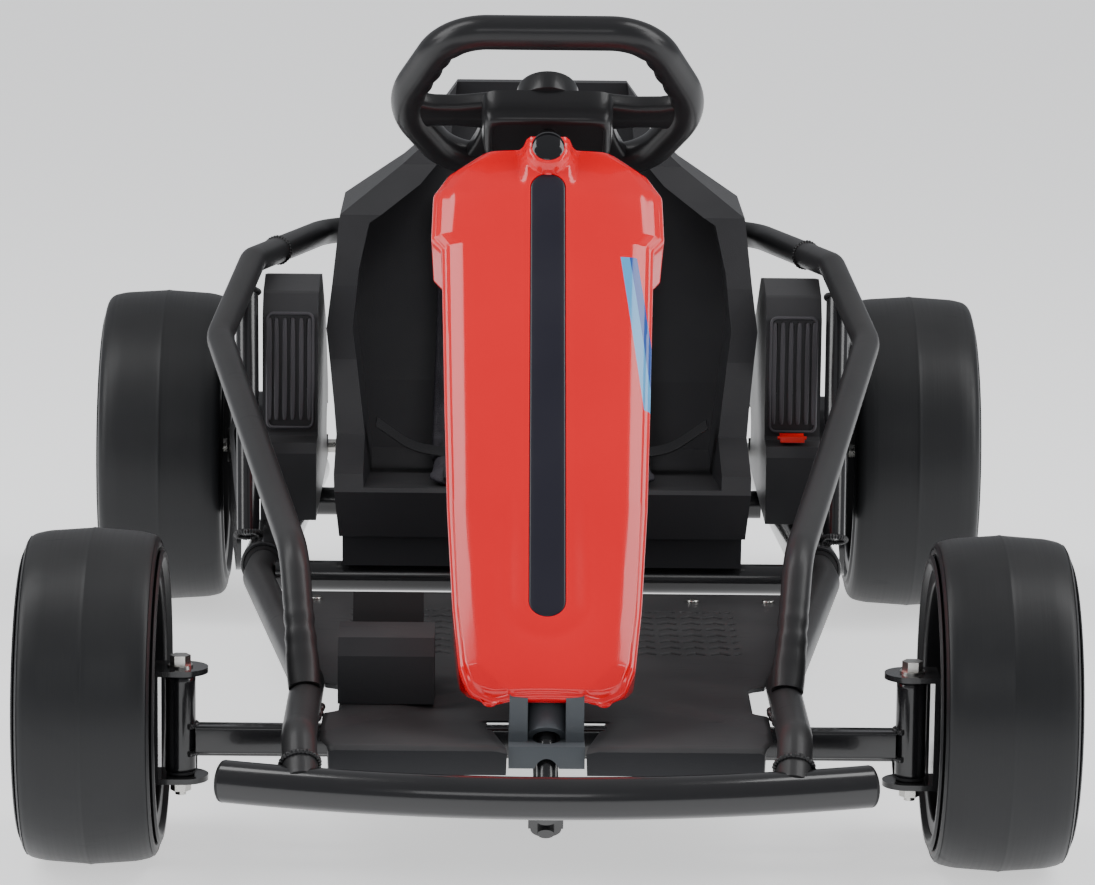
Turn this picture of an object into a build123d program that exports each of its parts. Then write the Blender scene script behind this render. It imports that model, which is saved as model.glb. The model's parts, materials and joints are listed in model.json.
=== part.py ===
from build123d import *
import os
from math import cos, pi, radians, sin

os.makedirs("parts", exist_ok=True)

# A child's two-motor electric drift kart, millimetres, +Z up, nose towards -Y, driver's left towards +X.
# Stations (Y) are written as distances behind the front axle; save() moves the origin to mid-length.

# Wheels
WHEELBASE = 880.0
FRONT_TYRE_RADIUS, FRONT_TYRE_WIDTH, FRONT_TRACK_HALF = 120.5, 100.0, 324.0
REAR_TYRE_RADIUS, REAR_TYRE_WIDTH, REAR_TRACK_HALF = 137.5, 110.0, 329.0
FRONT_BEAD_RADIUS, REAR_BEAD_RADIUS = 96.0, 110.0
TYRE_WALL = 8.0
AXLE_RADIUS = 6.0
RUNNING_GAP = 0.05

# Steel frame
BEAM_SIZE, BEAM_HEIGHT = 20.0, 90.0
RAIL_DIAMETER, RAIL_HEIGHT = 25.0, 112.5
COLLAR_DIAMETER, COLLAR_BORE = 38.0, 32.0
BAR_DIAMETER, POST_DIAMETER = 22.0, 19.0
BUMPER_DIAMETER, BUMPER_HALF_WIDTH, BUMPER_HEIGHT = 30.0, 225.0, 84.0
BUMPER_END_STATION, BUMPER_NOSE_STATION = -100.0, -140.0
TUBE_WALL = 2.0

# Steering
KINGPIN_X, KINGPIN_RADIUS = 262.0, 4.0
SLEEVE_RADIUS, SLEEVE_LOW, SLEEVE_HIGH = 11.0, 66.0, 136.0
ARM_LENGTH = 50.0
CRANK_RADIUS = 26.5
COLUMN_RADIUS, COLUMN_LEAN = 7.0, 45.0
HUB_HEIGHT = 510.0
WHEEL_HALF_WIDTH, WHEEL_HALF_HEIGHT, WHEEL_GRIP_DIAMETER = 109.0, 79.0, 27.0

# Drive
GEAR_MODULE, GEAR_TEETH, PINION_TEETH = 1.5, 54, 12
GEAR_CENTRES = GEAR_MODULE * (GEAR_TEETH + PINION_TEETH) / 2
PINION_ANGLE = 146.3

LENGTH_MIDDLE = (WHEELBASE + REAR_TYRE_RADIUS + BUMPER_NOSE_STATION - BUMPER_DIAMETER / 2) / 2
SIDES = {"left": 1, "right": -1}


def save(name, *solids):
    """Write one sub-part, moved so that the origin is under the middle of the kart."""
    shape = solids[0] if len(solids) == 1 else Compound(children=list(solids))
    export_step(shape.moved(Location((0, -LENGTH_MIDDLE, 0))), f"parts/{name}.step")


def on_side(shape, side):
    """A piece drawn for the left (+X) side, or its mirror image for the right."""
    return shape if side > 0 else mirror(shape, about=Plane.YZ)


def tube(points, radii, diameter, wall=TUBE_WALL):
    """A bent round tube along straight runs joined by arcs; wall None gives a solid bar."""
    path = FilletPolyline(*points, radius=radii) if radii else Line(*points)
    ring = Circle(diameter / 2)
    if wall:
        ring -= Circle(diameter / 2 - wall)
    return sweep(Plane(origin=path @ 0, z_dir=path % 0) * ring, path=path)


def block(x0, x1, y0, y1, z0, z1):
    """A box between two corners."""
    return Pos((x0 + x1) / 2, (y0 + y1) / 2, (z0 + z1) / 2) * Box(x1 - x0, y1 - y0, z1 - z0)


def side_slab(points, x0, x1):
    """A side-view outline (station, height) carried across from x0 to x1."""
    outline = Plane.YZ * make_face(Polyline(*points, close=True))
    return Pos(x0, 0, 0) * extrude(outline, x1 - x0, dir=(1, 0, 0))


def front_slab(points, y0, y1):
    """A front-view outline (x, height) carried back from y0 to y1."""
    face = make_face(Polyline(*[(x, y0, z) for x, z in points], close=True))
    return extrude(face, y1 - y0, dir=(0, 1, 0))


def mirrored_outline(half):
    """Close a half outline, listed from its lowest point up, with its mirror image."""
    return half + [(-x, z) for x, z in reversed(half)]


def bar_x(radius, x0, x1, station, height):
    """A round bar lying across the kart."""
    return Pos((x0 + x1) / 2, station, height) * Rot(0, 90, 0) * Cylinder(radius, x1 - x0)


def disc_z(radius, x, station, z0, z1):
    """A round post standing up."""
    return Pos(x, station, (z0 + z1) / 2) * Cylinder(radius, z1 - z0)


# ---- Front end: bumper, beam, knuckles, track rod ----

BUMPER_ENDS = [(-BUMPER_HALF_WIDTH, BUMPER_END_STATION, BUMPER_HEIGHT),
               (0, BUMPER_NOSE_STATION, BUMPER_HEIGHT),
               (BUMPER_HALF_WIDTH, BUMPER_END_STATION, BUMPER_HEIGHT)]


def bumper_bar(wall=TUBE_WALL):
    """The bowed bumper tube; wall None gives the solid used to fish-mouth the rails."""
    path = ThreePointArc(*BUMPER_ENDS)
    ring = Circle(BUMPER_DIAMETER / 2)
    if wall:
        ring -= Circle(BUMPER_DIAMETER / 2 - wall)
    return sweep(Plane(origin=path @ 0, z_dir=path % 0) * ring, path=path)


def bumper_cap():
    """Domed plastic plug in the bumper's end."""
    arc = ThreePointArc(*BUMPER_ENDS)
    plug = extrude(Circle(BUMPER_DIAMETER / 2), 3)
    plug = fillet(plug.edges().sort_by(Axis.Z)[-1], 2)
    plug += Pos(0, 0, -10) * extrude(Circle(BUMPER_DIAMETER / 2 - TUBE_WALL - 0.4), 10)
    return Plane(origin=arc @ 1, z_dir=arc % 1) * plug


def front_beam():
    """Square cross tube with an upright sleeve welded on each end for the kingpin."""
    beam = Box(2 * KINGPIN_X, BEAM_SIZE, BEAM_SIZE)
    beam -= Box(2 * KINGPIN_X, BEAM_SIZE - 2 * TUBE_WALL, BEAM_SIZE - 2 * TUBE_WALL)
    beam = Pos(0, 0, BEAM_HEIGHT) * beam
    for side in SIDES.values():
        beam += disc_z(SLEEVE_RADIUS, side * KINGPIN_X, 0, SLEEVE_LOW, SLEEVE_HIGH)
    for side in SIDES.values():
        beam -= disc_z(7.05, side * KINGPIN_X, 0, SLEEVE_LOW - 1, SLEEVE_HIGH + 1)
    return beam


def kingpin_bushes():
    """A flanged nylon bush in each end of both kingpin sleeves."""
    bushes = []
    for side in SIDES.values():
        for flange_low, spigot_low in ((SLEEVE_LOW - 2, SLEEVE_LOW), (SLEEVE_HIGH, SLEEVE_HIGH - 14)):
            bush = disc_z(10, side * KINGPIN_X, 0, flange_low, flange_low + 2)
            bush += disc_z(7, side * KINGPIN_X, 0, spigot_low, spigot_low + 14)
            bush -= disc_z(KINGPIN_RADIUS + RUNNING_GAP, side * KINGPIN_X, 0, SLEEVE_LOW - 3, SLEEVE_HIGH + 3)
            bushes.append(bush)
    return bushes


FLANGE_LOW, FLANGE_HIGH, PLATE = 59.5, 142.5, 4.0
KNUCKLE_PLATE_X = KINGPIN_X + 15


def knuckle():
    """C-shaped bracket: two flanges, a back plate, the stub axle and the steering arm."""
    flange = make_hull([*(Pos(KINGPIN_X - 2, 0) * Circle(18)).edges(),
                        *(Pos(KNUCKLE_PLATE_X + 2, 0) * Rectangle(PLATE, 36)).edges()])
    arm = make_hull([*(Pos(KINGPIN_X, 0) * Circle(12)).edges(),
                     *(Pos(KINGPIN_X, ARM_LENGTH) * Circle(9)).edges()])
    body = Pos(0, 0, FLANGE_HIGH - PLATE) * extrude(flange, PLATE)
    body += Pos(0, 0, FLANGE_LOW) * extrude(flange + arm, PLATE)
    body += block(KNUCKLE_PLATE_X, KNUCKLE_PLATE_X + PLATE, -18, 18, FLANGE_LOW, FLANGE_HIGH)
    body += bar_x(AXLE_RADIUS, KNUCKLE_PLATE_X + PLATE, 364, 0, FRONT_TYRE_RADIUS)
    body += bar_x(14, KNUCKLE_PLATE_X + PLATE, KNUCKLE_PLATE_X + PLATE + 5, 0, FRONT_TYRE_RADIUS)
    body -= disc_z(KINGPIN_RADIUS + RUNNING_GAP, KINGPIN_X, 0, FLANGE_LOW - 1, FLANGE_HIGH + 1)
    body -= disc_z(4 + RUNNING_GAP, KINGPIN_X, ARM_LENGTH, FLANGE_LOW - 1, FLANGE_LOW + PLATE + 1)
    return body


def hex_prism(across_flats, height):
    """A hexagon head or nut standing on z = 0."""
    return extrude(RegularPolygon(across_flats / 2, 6, major_radius=False), height)


def knuckle_fasteners():
    """Kingpin bolt with washer and nut, and the stub axle's washer and nut."""
    bolt = disc_z(KINGPIN_RADIUS, KINGPIN_X, 0, FLANGE_LOW - 11, FLANGE_HIGH + 1.5)
    bolt += Pos(KINGPIN_X, 0, FLANGE_HIGH + 1.5) * hex_prism(13, 7)
    washer = disc_z(9, KINGPIN_X, 0, FLANGE_HIGH, FLANGE_HIGH + 1.5)
    washer -= disc_z(KINGPIN_RADIUS + 0.1, KINGPIN_X, 0, FLANGE_HIGH - 1, FLANGE_HIGH + 3)
    nut = Pos(KINGPIN_X, 0, FLANGE_LOW - 8) * hex_prism(13, 8)
    nut -= disc_z(KINGPIN_RADIUS + 0.02, KINGPIN_X, 0, FLANGE_LOW - 12, FLANGE_LOW)
    axle_washer = bar_x(11, 353.2, 355, 0, FRONT_TYRE_RADIUS)
    axle_washer -= bar_x(AXLE_RADIUS + 0.05, 350, 360, 0, FRONT_TYRE_RADIUS)
    axle_nut = Pos(355, 0, FRONT_TYRE_RADIUS) * Rot(0, 90, 0) * hex_prism(17, 7)
    axle_nut -= bar_x(AXLE_RADIUS + 0.02, 350, 370, 0, FRONT_TYRE_RADIUS)
    return [bolt, washer, nut, axle_washer, axle_nut]


ROD_HEIGHT, ROD_RADIUS = 69.0, 5.0
SLOT_STATION, SLOT_HEIGHT = -50.0, 47.6
# The column axis and the crank's plane share this tilted frame: X across, Y down the crank, Z up the column.
SLOT_PLANE = Plane(origin=(0, SLOT_STATION, SLOT_HEIGHT), x_dir=(1, 0, 0),
                   z_dir=(0, sin(radians(COLUMN_LEAN)), cos(radians(COLUMN_LEAN))))


def track_rod():
    """Rod between the two steering arms, with a forward tongue whose slot takes the crank's pin."""
    rod = bar_x(ROD_RADIUS, -KINGPIN_X + 6, KINGPIN_X - 6, ARM_LENGTH, ROD_HEIGHT)
    for side in SIDES.values():
        rod += disc_z(8, side * KINGPIN_X, ARM_LENGTH, FLANGE_LOW + PLATE + 0.3, ROD_HEIGHT + ROD_RADIUS + 1)
    tongue = side_slab([(ARM_LENGTH - 3, 62), (ARM_LENGTH - 3, 68), (-18, 68), (-43, 42), (-38, 37),
                        (-15, 62)], -9, 9)
    plate = SLOT_PLANE * Pos(0, -0.5, -2.5) * extrude(Rectangle(25, 29), 5)
    rod = rod + tongue + plate
    rod -= SLOT_PLANE * Pos(0, -2.6, -5) * extrude(SlotCenterToCenter(6, 10.4, rotation=90), 10)
    rod -= disc_z(4 + RUNNING_GAP, -KINGPIN_X, ARM_LENGTH, FLANGE_LOW, ROD_HEIGHT + 20)
    rod -= disc_z(5, KINGPIN_X, ARM_LENGTH, FLANGE_LOW, ROD_HEIGHT + 20)
    return rod


def arm_pins():
    """The steering arm's pin, riveted into the arm, for the rod end to turn on."""
    pin = disc_z(4, KINGPIN_X, ARM_LENGTH, FLANGE_LOW - 2, ROD_HEIGHT + ROD_RADIUS + 4)
    pin += disc_z(6.5, KINGPIN_X, ARM_LENGTH, ROD_HEIGHT + ROD_RADIUS + 2, ROD_HEIGHT + ROD_RADIUS + 4)
    return pin


# ---- Side frames ----

RAIL_BEND = (228.0, 440.0)
COLLAR_STATION = 487.0
REAR_RAIL_END = (205.0, 905.0)


def lower_rail(wall=TUBE_WALL):
    """Front rail: rises off the bumper, lies on the beam, runs outwards and enters the rear rail."""
    x1, y1 = RAIL_BEND
    x2, y2 = REAR_RAIL_END
    reach = (545.0 - y1) / (y2 - y1)
    points = [(171, -118, BUMPER_HEIGHT + 4), (174, -82, RAIL_HEIGHT), (174, 80, RAIL_HEIGHT),
              (x1, y1, RAIL_HEIGHT), (x1 + (x2 - x1) * reach, 545, RAIL_HEIGHT)]
    return tube(points, [28, 90, 90], RAIL_DIAMETER, wall)


def rear_rail(wall=(COLLAR_DIAMETER - COLLAR_BORE) / 2):
    """Rear rail: larger tube with an axle saddle on its back end."""
    x1, y1 = RAIL_BEND
    x2, y2 = REAR_RAIL_END
    front = (x1 + (x2 - x1) * (COLLAR_STATION - y1) / (y2 - y1), COLLAR_STATION, RAIL_HEIGHT)
    rail = tube([front, (x2, y2, RAIL_HEIGHT)], None, COLLAR_DIAMETER, wall)
    if wall:
        saddle = block(198, 214, 866, 894, RAIL_HEIGHT + 12, REAR_TYRE_RADIUS + 12)
        saddle -= tube([front, (x2, y2, RAIL_HEIGHT)], None, COLLAR_DIAMETER, None)
        rail += saddle
        rail -= bar_x(AXLE_RADIUS + 0.02, 180, 230, WHEELBASE, REAR_TYRE_RADIUS)
    return rail


def rail_sleeve():
    """Black plastic reducing sleeve between the front rail and the rear rail's mouth."""
    x1, y1 = RAIL_BEND
    x2, y2 = REAR_RAIL_END
    ends = [(x1 + (x2 - x1) * (y - y1) / (y2 - y1), y, RAIL_HEIGHT) for y in (COLLAR_STATION + 1, 541)]
    sleeve = tube(ends, None, COLLAR_BORE - 0.1, None)
    return sleeve - tube([(x1, y1, RAIL_HEIGHT), (x2, y2, RAIL_HEIGHT)], None, RAIL_DIAMETER + 0.1, None)


BAR_CORNER, HOOP_BACK = (242.0, 640.0, 340.0), (182.0, 848.0, 338.0)
HOOP_JOINT = tuple(near + 0.3 * (far - near) for near, far in zip(BAR_CORNER, HOOP_BACK))
SIDE_BAR_POINTS = [(174, 26, 117), (185, 100, 206), (262, 500, 298), BAR_CORNER, HOOP_JOINT]
WELD_GAP, CROSSBAR_RADIUS, CROSSBAR_HEIGHT = 0.3, 12.0, 111.5


def side_bar(wall=TUBE_WALL):
    """Bar from the front rail up and back to the widest point, then in to the rear hoop."""
    bar = tube(SIDE_BAR_POINTS, [55, 70, 32], BAR_DIAMETER, wall)
    return bar - lower_rail(None) if wall else bar


def rear_hoop():
    """Bar round the back of the seat, welded between the two side bars."""
    left = [HOOP_JOINT, HOOP_BACK]
    points = left + [(-x, y, z) for x, y, z in reversed(left)]
    return tube(points, [60, 60], BAR_DIAMETER)


def hoop_post():
    """Upright from the rear rail's mouth to the side bar."""
    post = tube([(239, 507, 116), (245.6, 615, 331)], None, POST_DIAMETER)
    return post - rear_rail(None) - side_bar(None)


def seat_crossbars():
    """Two cross tubes between the rails that carry the seat base and the battery."""
    bars = []
    for station, rail_x, rail_diameter in ((455, 227.0, RAIL_DIAMETER), (760, 211.8, COLLAR_DIAMETER)):
        reach = rail_x - rail_diameter / 2 - WELD_GAP
        bar = bar_x(CROSSBAR_RADIUS, -reach, reach, station, CROSSBAR_HEIGHT)
        bars.append(bar - bar_x(CROSSBAR_RADIUS - TUBE_WALL, -reach, reach, station, CROSSBAR_HEIGHT))
    return bars


def axle_plate():
    """Side plate from the rear rail's mouth out to the rear axle, outside the gearbox."""
    plan = [(243, 500), (266, 790), (266, 925), (270, 925), (270, 789.6), (247, 499.6)]
    plate = Pos(0, 0, 84) * extrude(make_face(Polyline(*plan, close=True)), 90)
    side = make_hull([*(Pos(WHEELBASE, REAR_TYRE_RADIUS) * Circle(36)).edges(),
                      *(Pos(575, 118) * Circle(28)).edges()])
    keep = Pos(230, 0, 0) * extrude(Plane.YZ * side, 60, dir=(1, 0, 0))
    plate = plate & keep
    plate -= bar_x(17, 250, 290, WHEELBASE, REAR_TYRE_RADIUS)
    return plate - rear_rail(None)


# ---- Wheels, built round Z and turned to lie along X ----


def place_wheel(shape, side, track_half, station, radius):
    """Turn a wheel piece built round +Z (outer face up) to its place on one side."""
    return Pos(side * track_half, station, radius) * Rot(0, 90 * side, 0) * shape


def tyre(radius, width, bead):
    """Smooth tread ring with rounded shoulders and a slight crown, hollow towards the rim."""
    half, shoulder, crown = width / 2, 16.0, 2.5
    cap = radius - crown
    arc = shoulder * (1 - cos(pi / 4))
    edges = [Line((bead, -half + 6), (bead + 5, -half)), Line((bead + 5, -half), (cap - shoulder, -half)),
             ThreePointArc((cap - shoulder, -half), (cap - arc, -half + arc), (cap, -half + shoulder)),
             ThreePointArc((cap, -half + shoulder), (radius, 0), (cap, half - shoulder)),
             ThreePointArc((cap, half - shoulder), (cap - arc, half - arc), (cap - shoulder, half)),
             Line((cap - shoulder, half), (bead + 5, half)), Line((bead + 5, half), (bead, half - 6)),
             Line((bead, half - 6), (bead, -half + 6))]
    ring = revolve(Plane.XZ * make_face(edges), Axis.Z)
    inside = Cylinder(cap - TYRE_WALL, width - 2 * TYRE_WALL) - Cylinder(bead - 2, width)
    return ring - inside


def rim(bead, width, hub_low, hub_high, web):
    """Moulded rim: barrel, dished web with five pockets, and hub with a running bore."""
    half, barrel = width / 2 - 5, bead - 6
    ring = Cylinder(bead - 0.05, 2 * half) - Cylinder(barrel, 2 * half + 2)
    for end in (-1, 1):
        ring += Pos(0, 0, end * (half + 1)) * (Cylinder(bead - 1.5, 4) - Cylinder(barrel - 3, 6))
    disc = Pos(0, 0, web) * Cylinder(barrel + 1, 8)
    hub = Pos(0, 0, (hub_low + hub_high) / 2) * Cylinder(19, hub_high - hub_low)
    body = ring + disc + hub
    for turn in range(5):
        pocket = make_hull([*(Pos(38, 0) * Circle(9)).edges(),
                            *(Pos(barrel - 22, 0) * Circle(14)).edges()])
        body -= Rot(0, 0, 72 * turn) * Pos(0, 0, web - 6) * extrude(pocket, 20)
    return body - Cylinder(AXLE_RADIUS + RUNNING_GAP, 300)


def hub_cap(hub_high, face):
    """Snap-on cap over the axle nut."""
    cap = Pos(0, 0, hub_high) * extrude(Circle(21), face - hub_high)
    cap = fillet(cap.edges().sort_by(Axis.Z)[-1], 3)
    return cap - Pos(0, 0, hub_high - 1) * extrude(Circle(14), face - hub_high - 2)


def gear(teeth, thickness, phase):
    """Coarse straight-cut gear on z = 0; phase turns its first tooth, in teeth."""
    pitch_radius = GEAR_MODULE * teeth / 2
    root, tip = pitch_radius - 1.2 * GEAR_MODULE, pitch_radius + 0.8 * GEAR_MODULE
    points = []
    for tooth in range(teeth):
        for radius, offset in ((root, -0.24), (tip, -0.11), (tip, 0.11), (root, 0.24)):
            angle = 2 * pi * (tooth + phase + offset) / teeth
            points.append((radius * cos(angle), radius * sin(angle)))
    return extrude(make_face(Polyline(*points, close=True)), thickness)


GEAR_X, GEAR_THICKNESS = 246.0, 10.0
CASE_INNER_X, CASE_OUTER_X, CASE_WALL = 239.0, 264.5, 3.0
PINION_STATION = WHEELBASE + GEAR_CENTRES * cos(radians(PINION_ANGLE))
PINION_HEIGHT = REAR_TYRE_RADIUS + GEAR_CENTRES * sin(radians(PINION_ANGLE))


def gear_across(shape, station, height, x):
    """Turn a gear drawn in plan so that it faces +X with its 0 degree line along +Y."""
    return Pos(x, station, height) * Plane.YZ.location * shape


def drive_gear():
    """Large output gear whose hub reaches through the axle plate to the wheel."""
    phase = PINION_ANGLE / 360 * GEAR_TEETH
    wheel = gear_across(gear(GEAR_TEETH, GEAR_THICKNESS, phase), WHEELBASE, REAR_TYRE_RADIUS, GEAR_X)
    wheel += bar_x(15, GEAR_X + GEAR_THICKNESS, 276, WHEELBASE, REAR_TYRE_RADIUS)
    return wheel - bar_x(AXLE_RADIUS + RUNNING_GAP, 230, 290, WHEELBASE, REAR_TYRE_RADIUS)


def motor_pinion():
    """Small gear on the motor shaft, half a tooth out of step so that it meshes."""
    phase = (PINION_ANGLE + 180) / 360 * PINION_TEETH + 0.5
    teeth = gear(PINION_TEETH, GEAR_THICKNESS - 1, phase)
    pinion = gear_across(teeth, PINION_STATION, PINION_HEIGHT, GEAR_X + 0.5)
    return pinion + bar_x(2.5, 236.5, GEAR_X + 1, PINION_STATION, PINION_HEIGHT)


def gearbox():
    """Moulded two-lobed gear case, hollow, open round the output hub and the motor shaft."""
    def lobes(grow, x0, x1):
        face = make_hull([*(Pos(WHEELBASE, REAR_TYRE_RADIUS) * Circle(45 + grow)).edges(),
                          *(Pos(PINION_STATION, PINION_HEIGHT) * Circle(14 + grow)).edges()])
        return Pos(x0, 0, 0) * extrude(Plane.YZ * face, x1 - x0, dir=(1, 0, 0))
    case = lobes(CASE_WALL, CASE_INNER_X, CASE_OUTER_X)
    case -= lobes(0, CASE_INNER_X + CASE_WALL, CASE_OUTER_X - CASE_WALL)
    case -= bar_x(16, 255, 280, WHEELBASE, REAR_TYRE_RADIUS)
    case -= bar_x(AXLE_RADIUS + 0.3, 230, 270, WHEELBASE, REAR_TYRE_RADIUS)
    return case - bar_x(4, 230, GEAR_X, PINION_STATION, PINION_HEIGHT)


def motor():
    """Round motor can behind the gear case."""
    can = bar_x(20, 190, CASE_INNER_X, PINION_STATION, PINION_HEIGHT)
    return can - bar_x(2.6, 236, 240, PINION_STATION, PINION_HEIGHT)


# ---- Floor, steering support and hood ----

PAN_TOP, PAN_THICKNESS = 105.0, 4.0
PAN_FRONT, PAN_BACK, PAN_NOSE_TOP = -62.0, 425.0, 103.0
BAY_HALF = 50.0


def floor_pan():
    """Moulded tray: flat tread floor, front lip, stepped sides and an open bay for the steering."""
    profile = [(PAN_FRONT, 80), (PAN_FRONT, PAN_NOSE_TOP), (90, PAN_TOP), (PAN_BACK, PAN_TOP),
               (PAN_BACK, PAN_TOP - PAN_THICKNESS), (11, PAN_TOP - PAN_THICKNESS),
               (PAN_FRONT + 4, 100), (PAN_FRONT + 4, 80)]
    pan = side_slab(profile, -215, 215)
    plan = [(0, PAN_FRONT - 1), (154, PAN_FRONT - 1), (161, -40), (161, 24), (150, 30), (150, 104),
            (163.5, 112), (208, 412), (208, PAN_BACK + 1), (0, PAN_BACK + 1)]
    outline = make_face(Polyline(*(plan + [(-x, y) for x, y in reversed(plan[1:-1])]), close=True))
    pan &= Pos(0, 0, 60) * extrude(outline, 80)
    for side in SIDES.values():
        wall = [(150, 112), (154, 112), (198, 412), (194, 412)]
        web = make_face(Polyline(*[(side * x, y) for x, y in wall], close=True))
        pan += Pos(0, 0, 84) * extrude(web, PAN_TOP - 84 - 1)
    bay = [(-28, PAN_FRONT - 1), (-BAY_HALF, 60), (BAY_HALF, 60), (28, PAN_FRONT - 1)]
    return pan - Pos(0, 0, 60) * extrude(make_face(Polyline(*bay, close=True)), 80)


SUPPORT_FLOOR = 84.0


def column_point(distance):
    """A point on the column axis, this far up the column from the crank."""
    lean = radians(COLUMN_LEAN)
    foot = (SLOT_STATION - CRANK_RADIUS * cos(lean), SLOT_HEIGHT + CRANK_RADIUS * sin(lean))
    return (0, foot[0] + distance * sin(lean), foot[1] + distance * cos(lean))


def column_bar(radius, low, high):
    """A round bar on the column axis between two distances from the crank."""
    return tube([column_point(low), column_point(high)], None, 2 * radius, None)


def steering_support():
    """Bracket on the beam: two upright ribs, a base and the housing for the column's bush."""
    support = block(-27, 27, -58, -14, SUPPORT_FLOOR, 100)
    for centre in (-20, 20):
        support += side_slab([(-44, 100), (-44, 132), (60, 236), (80, 236), (-14, 112), (-14, 100)],
                             centre - 6.5, centre + 6.5)
    support += column_bar(15, 48, 190) & block(-40, 40, -58, 120, SUPPORT_FLOOR, 250)
    support += block(-27, 27, -14, -10, 84, 108)
    return support - column_bar(10, -60, 400)


def column_bush():
    """Nylon sleeve that the steering column turns in."""
    return column_bar(9.95, 70, 180) - column_bar(COLUMN_RADIUS + RUNNING_GAP, 0, 300)


HOOD_FOOT = (0.0, -50.0, 137.0)
HOOD_TOP, HOOD_DEPTH, HOOD_WALL, HOOD_LOWEST = 493.0, 66.0, 3.5, 116.0
# Hood frame: X across, Y up the face (leaning back with the column), Z out of the face.
HOOD_PLANE = Plane(origin=HOOD_FOOT, x_dir=(1, 0, 0),
                   z_dir=(0, -cos(radians(COLUMN_LEAN)), sin(radians(COLUMN_LEAN))))
HOOD_HALF_OUTLINE = [(40, 0), (56, 8), (63, 26), (68, 78), (73, 165), (76, 255), (80, 398), (88, 408),
                     (87, 452), (76, 474), (53, HOOD_TOP)]
STRIPE_HALF, STRIPE_LOW, STRIPE_TOP = 13.5, 64.0, 462.0


def hood_outline(inset):
    """The hood's outline in its own plane, pulled in by the wall thickness."""
    foot = -20 if inset else 0
    half = [(x - inset, min(y, HOOD_TOP - inset)) for x, y in HOOD_HALF_OUTLINE]
    half[0] = (half[0][0], foot)
    return make_face(Polyline(*mirrored_outline(half), close=True))


def stripe_outline(grow):
    """Long strip with a round lower end."""
    low = STRIPE_LOW + STRIPE_HALF
    strip = Pos(0, (low + STRIPE_TOP) / 2) * Rectangle(2 * (STRIPE_HALF + grow), STRIPE_TOP - low)
    return strip + Pos(0, low) * Circle(STRIPE_HALF + grow)


def hood():
    """Thin-walled nose cover with a raised nub at the top and a groove for the centre strip."""
    outer = extrude(hood_outline(0), -HOOD_DEPTH)
    outer = fillet(outer.faces().sort_by(Axis.Z)[-1].edges(), 6)
    shell = outer - Pos(0, 0, -HOOD_WALL) * extrude(hood_outline(HOOD_WALL), -HOOD_DEPTH)
    nub = Pos(0, 486, -8) * Rot(90, 0, 0) * Cylinder(18, 44)
    shell += nub & Pos(0, 486, 20) * Box(60, 60, 48)
    shell -= Pos(0, 0, -1.6) * extrude(stripe_outline(0.3), 40)
    cover = HOOD_PLANE * shell - block(-100, 100, -200, 100, 0, HOOD_LOWEST)
    return cover - column_bar(12, 0, 620)


def hood_stripe():
    """Dark strip pressed into the hood's groove."""
    return HOOD_PLANE * Pos(0, 0, -1.6) * extrude(stripe_outline(0), 1.3)


# ---- Steering column and wheel ----

HUB_DISTANCE = (HUB_HEIGHT - column_point(0)[2]) / cos(radians(COLUMN_LEAN))
WHEEL_PLANE = Plane(origin=column_point(HUB_DISTANCE), x_dir=(-1, 0, 0),
                    z_dir=(0, sin(radians(COLUMN_LEAN)), cos(radians(COLUMN_LEAN))))


def steering_column():
    """Steel column with the crank and its pin at the foot and a retaining nut."""
    column = column_bar(COLUMN_RADIUS, -19, HUB_DISTANCE + 1)
    crank = make_hull([*Circle(12).edges(), *(Pos(0, -CRANK_RADIUS) * Circle(11)).edges()])
    crank_frame = Plane(origin=column_point(-11), x_dir=(-1, 0, 0), z_dir=SLOT_PLANE.z_dir)
    column += crank_frame * extrude(crank, 5)
    column += crank_frame * Pos(0, -CRANK_RADIUS, -4) * extrude(Circle(6), 4)
    column += crank_frame * Pos(0, -CRANK_RADIUS, 0) * extrude(Circle(4), 17)
    return column


def steering_wheel():
    """Flattened oval grip with a cross bar, two lower struts and the hub boss."""
    w, h = WHEEL_HALF_WIDTH, WHEEL_HALF_HEIGHT
    corners = [(-0.72 * w, h), (0.72 * w, h), (1.06 * w, -0.12 * h), (0.72 * w, -h), (-0.72 * w, -h),
               (-1.06 * w, -0.12 * h)]
    path = FilletPolyline(*corners, radius=44, close=True)
    grip = sweep(Plane(origin=path @ 0, z_dir=path % 0) * Circle(WHEEL_GRIP_DIAMETER / 2), path=path)
    wheel = grip + Pos(0, -16, -1) * Box(2 * w - 8, 34, 18)
    for side in SIDES.values():
        strut = make_hull([*(Pos(side * 40, -30) * Circle(9)).edges(),
                           *(Pos(side * 58, -h) * Circle(9)).edges()])
        wheel += Pos(0, 0, -8) * extrude(strut, 14)
    wheel += Pos(0, 0, -10) * extrude(Circle(24), 18)
    wheel -= Pos(0, 0, -40) * extrude(Circle(COLUMN_RADIUS), 41)
    return WHEEL_PLANE * (wheel - Pos(0, 0, 2) * extrude(Circle(19.3), 30))


def wheel_module():
    """Raised battery and sound box on the front of the wheel's hub."""
    box = Pos(0, -8, -24) * Box(102, 56, 28)
    box = fillet(box.edges().filter_by(Axis.Z), 8)
    box -= Pos(0, -8, -24) * Box(96, 50, 22)
    box += Pos(0, 0, -24) * Cylinder(12, 28)
    return WHEEL_PLANE * (box - Pos(0, 0, -24) * Cylinder(COLUMN_RADIUS + 0.02, 40))


def horn_button():
    """Round push button in the hub, on the driver's side."""
    return WHEEL_PLANE * Pos(0, 0, 8) * fillet(Cylinder(19, 5).edges().sort_by(Axis.Z)[-1], 1.5)


# ---- Accelerator ----

PEDAL_X, PEDAL_PIVOT = -116.0, (106.0, 114.0)


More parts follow.
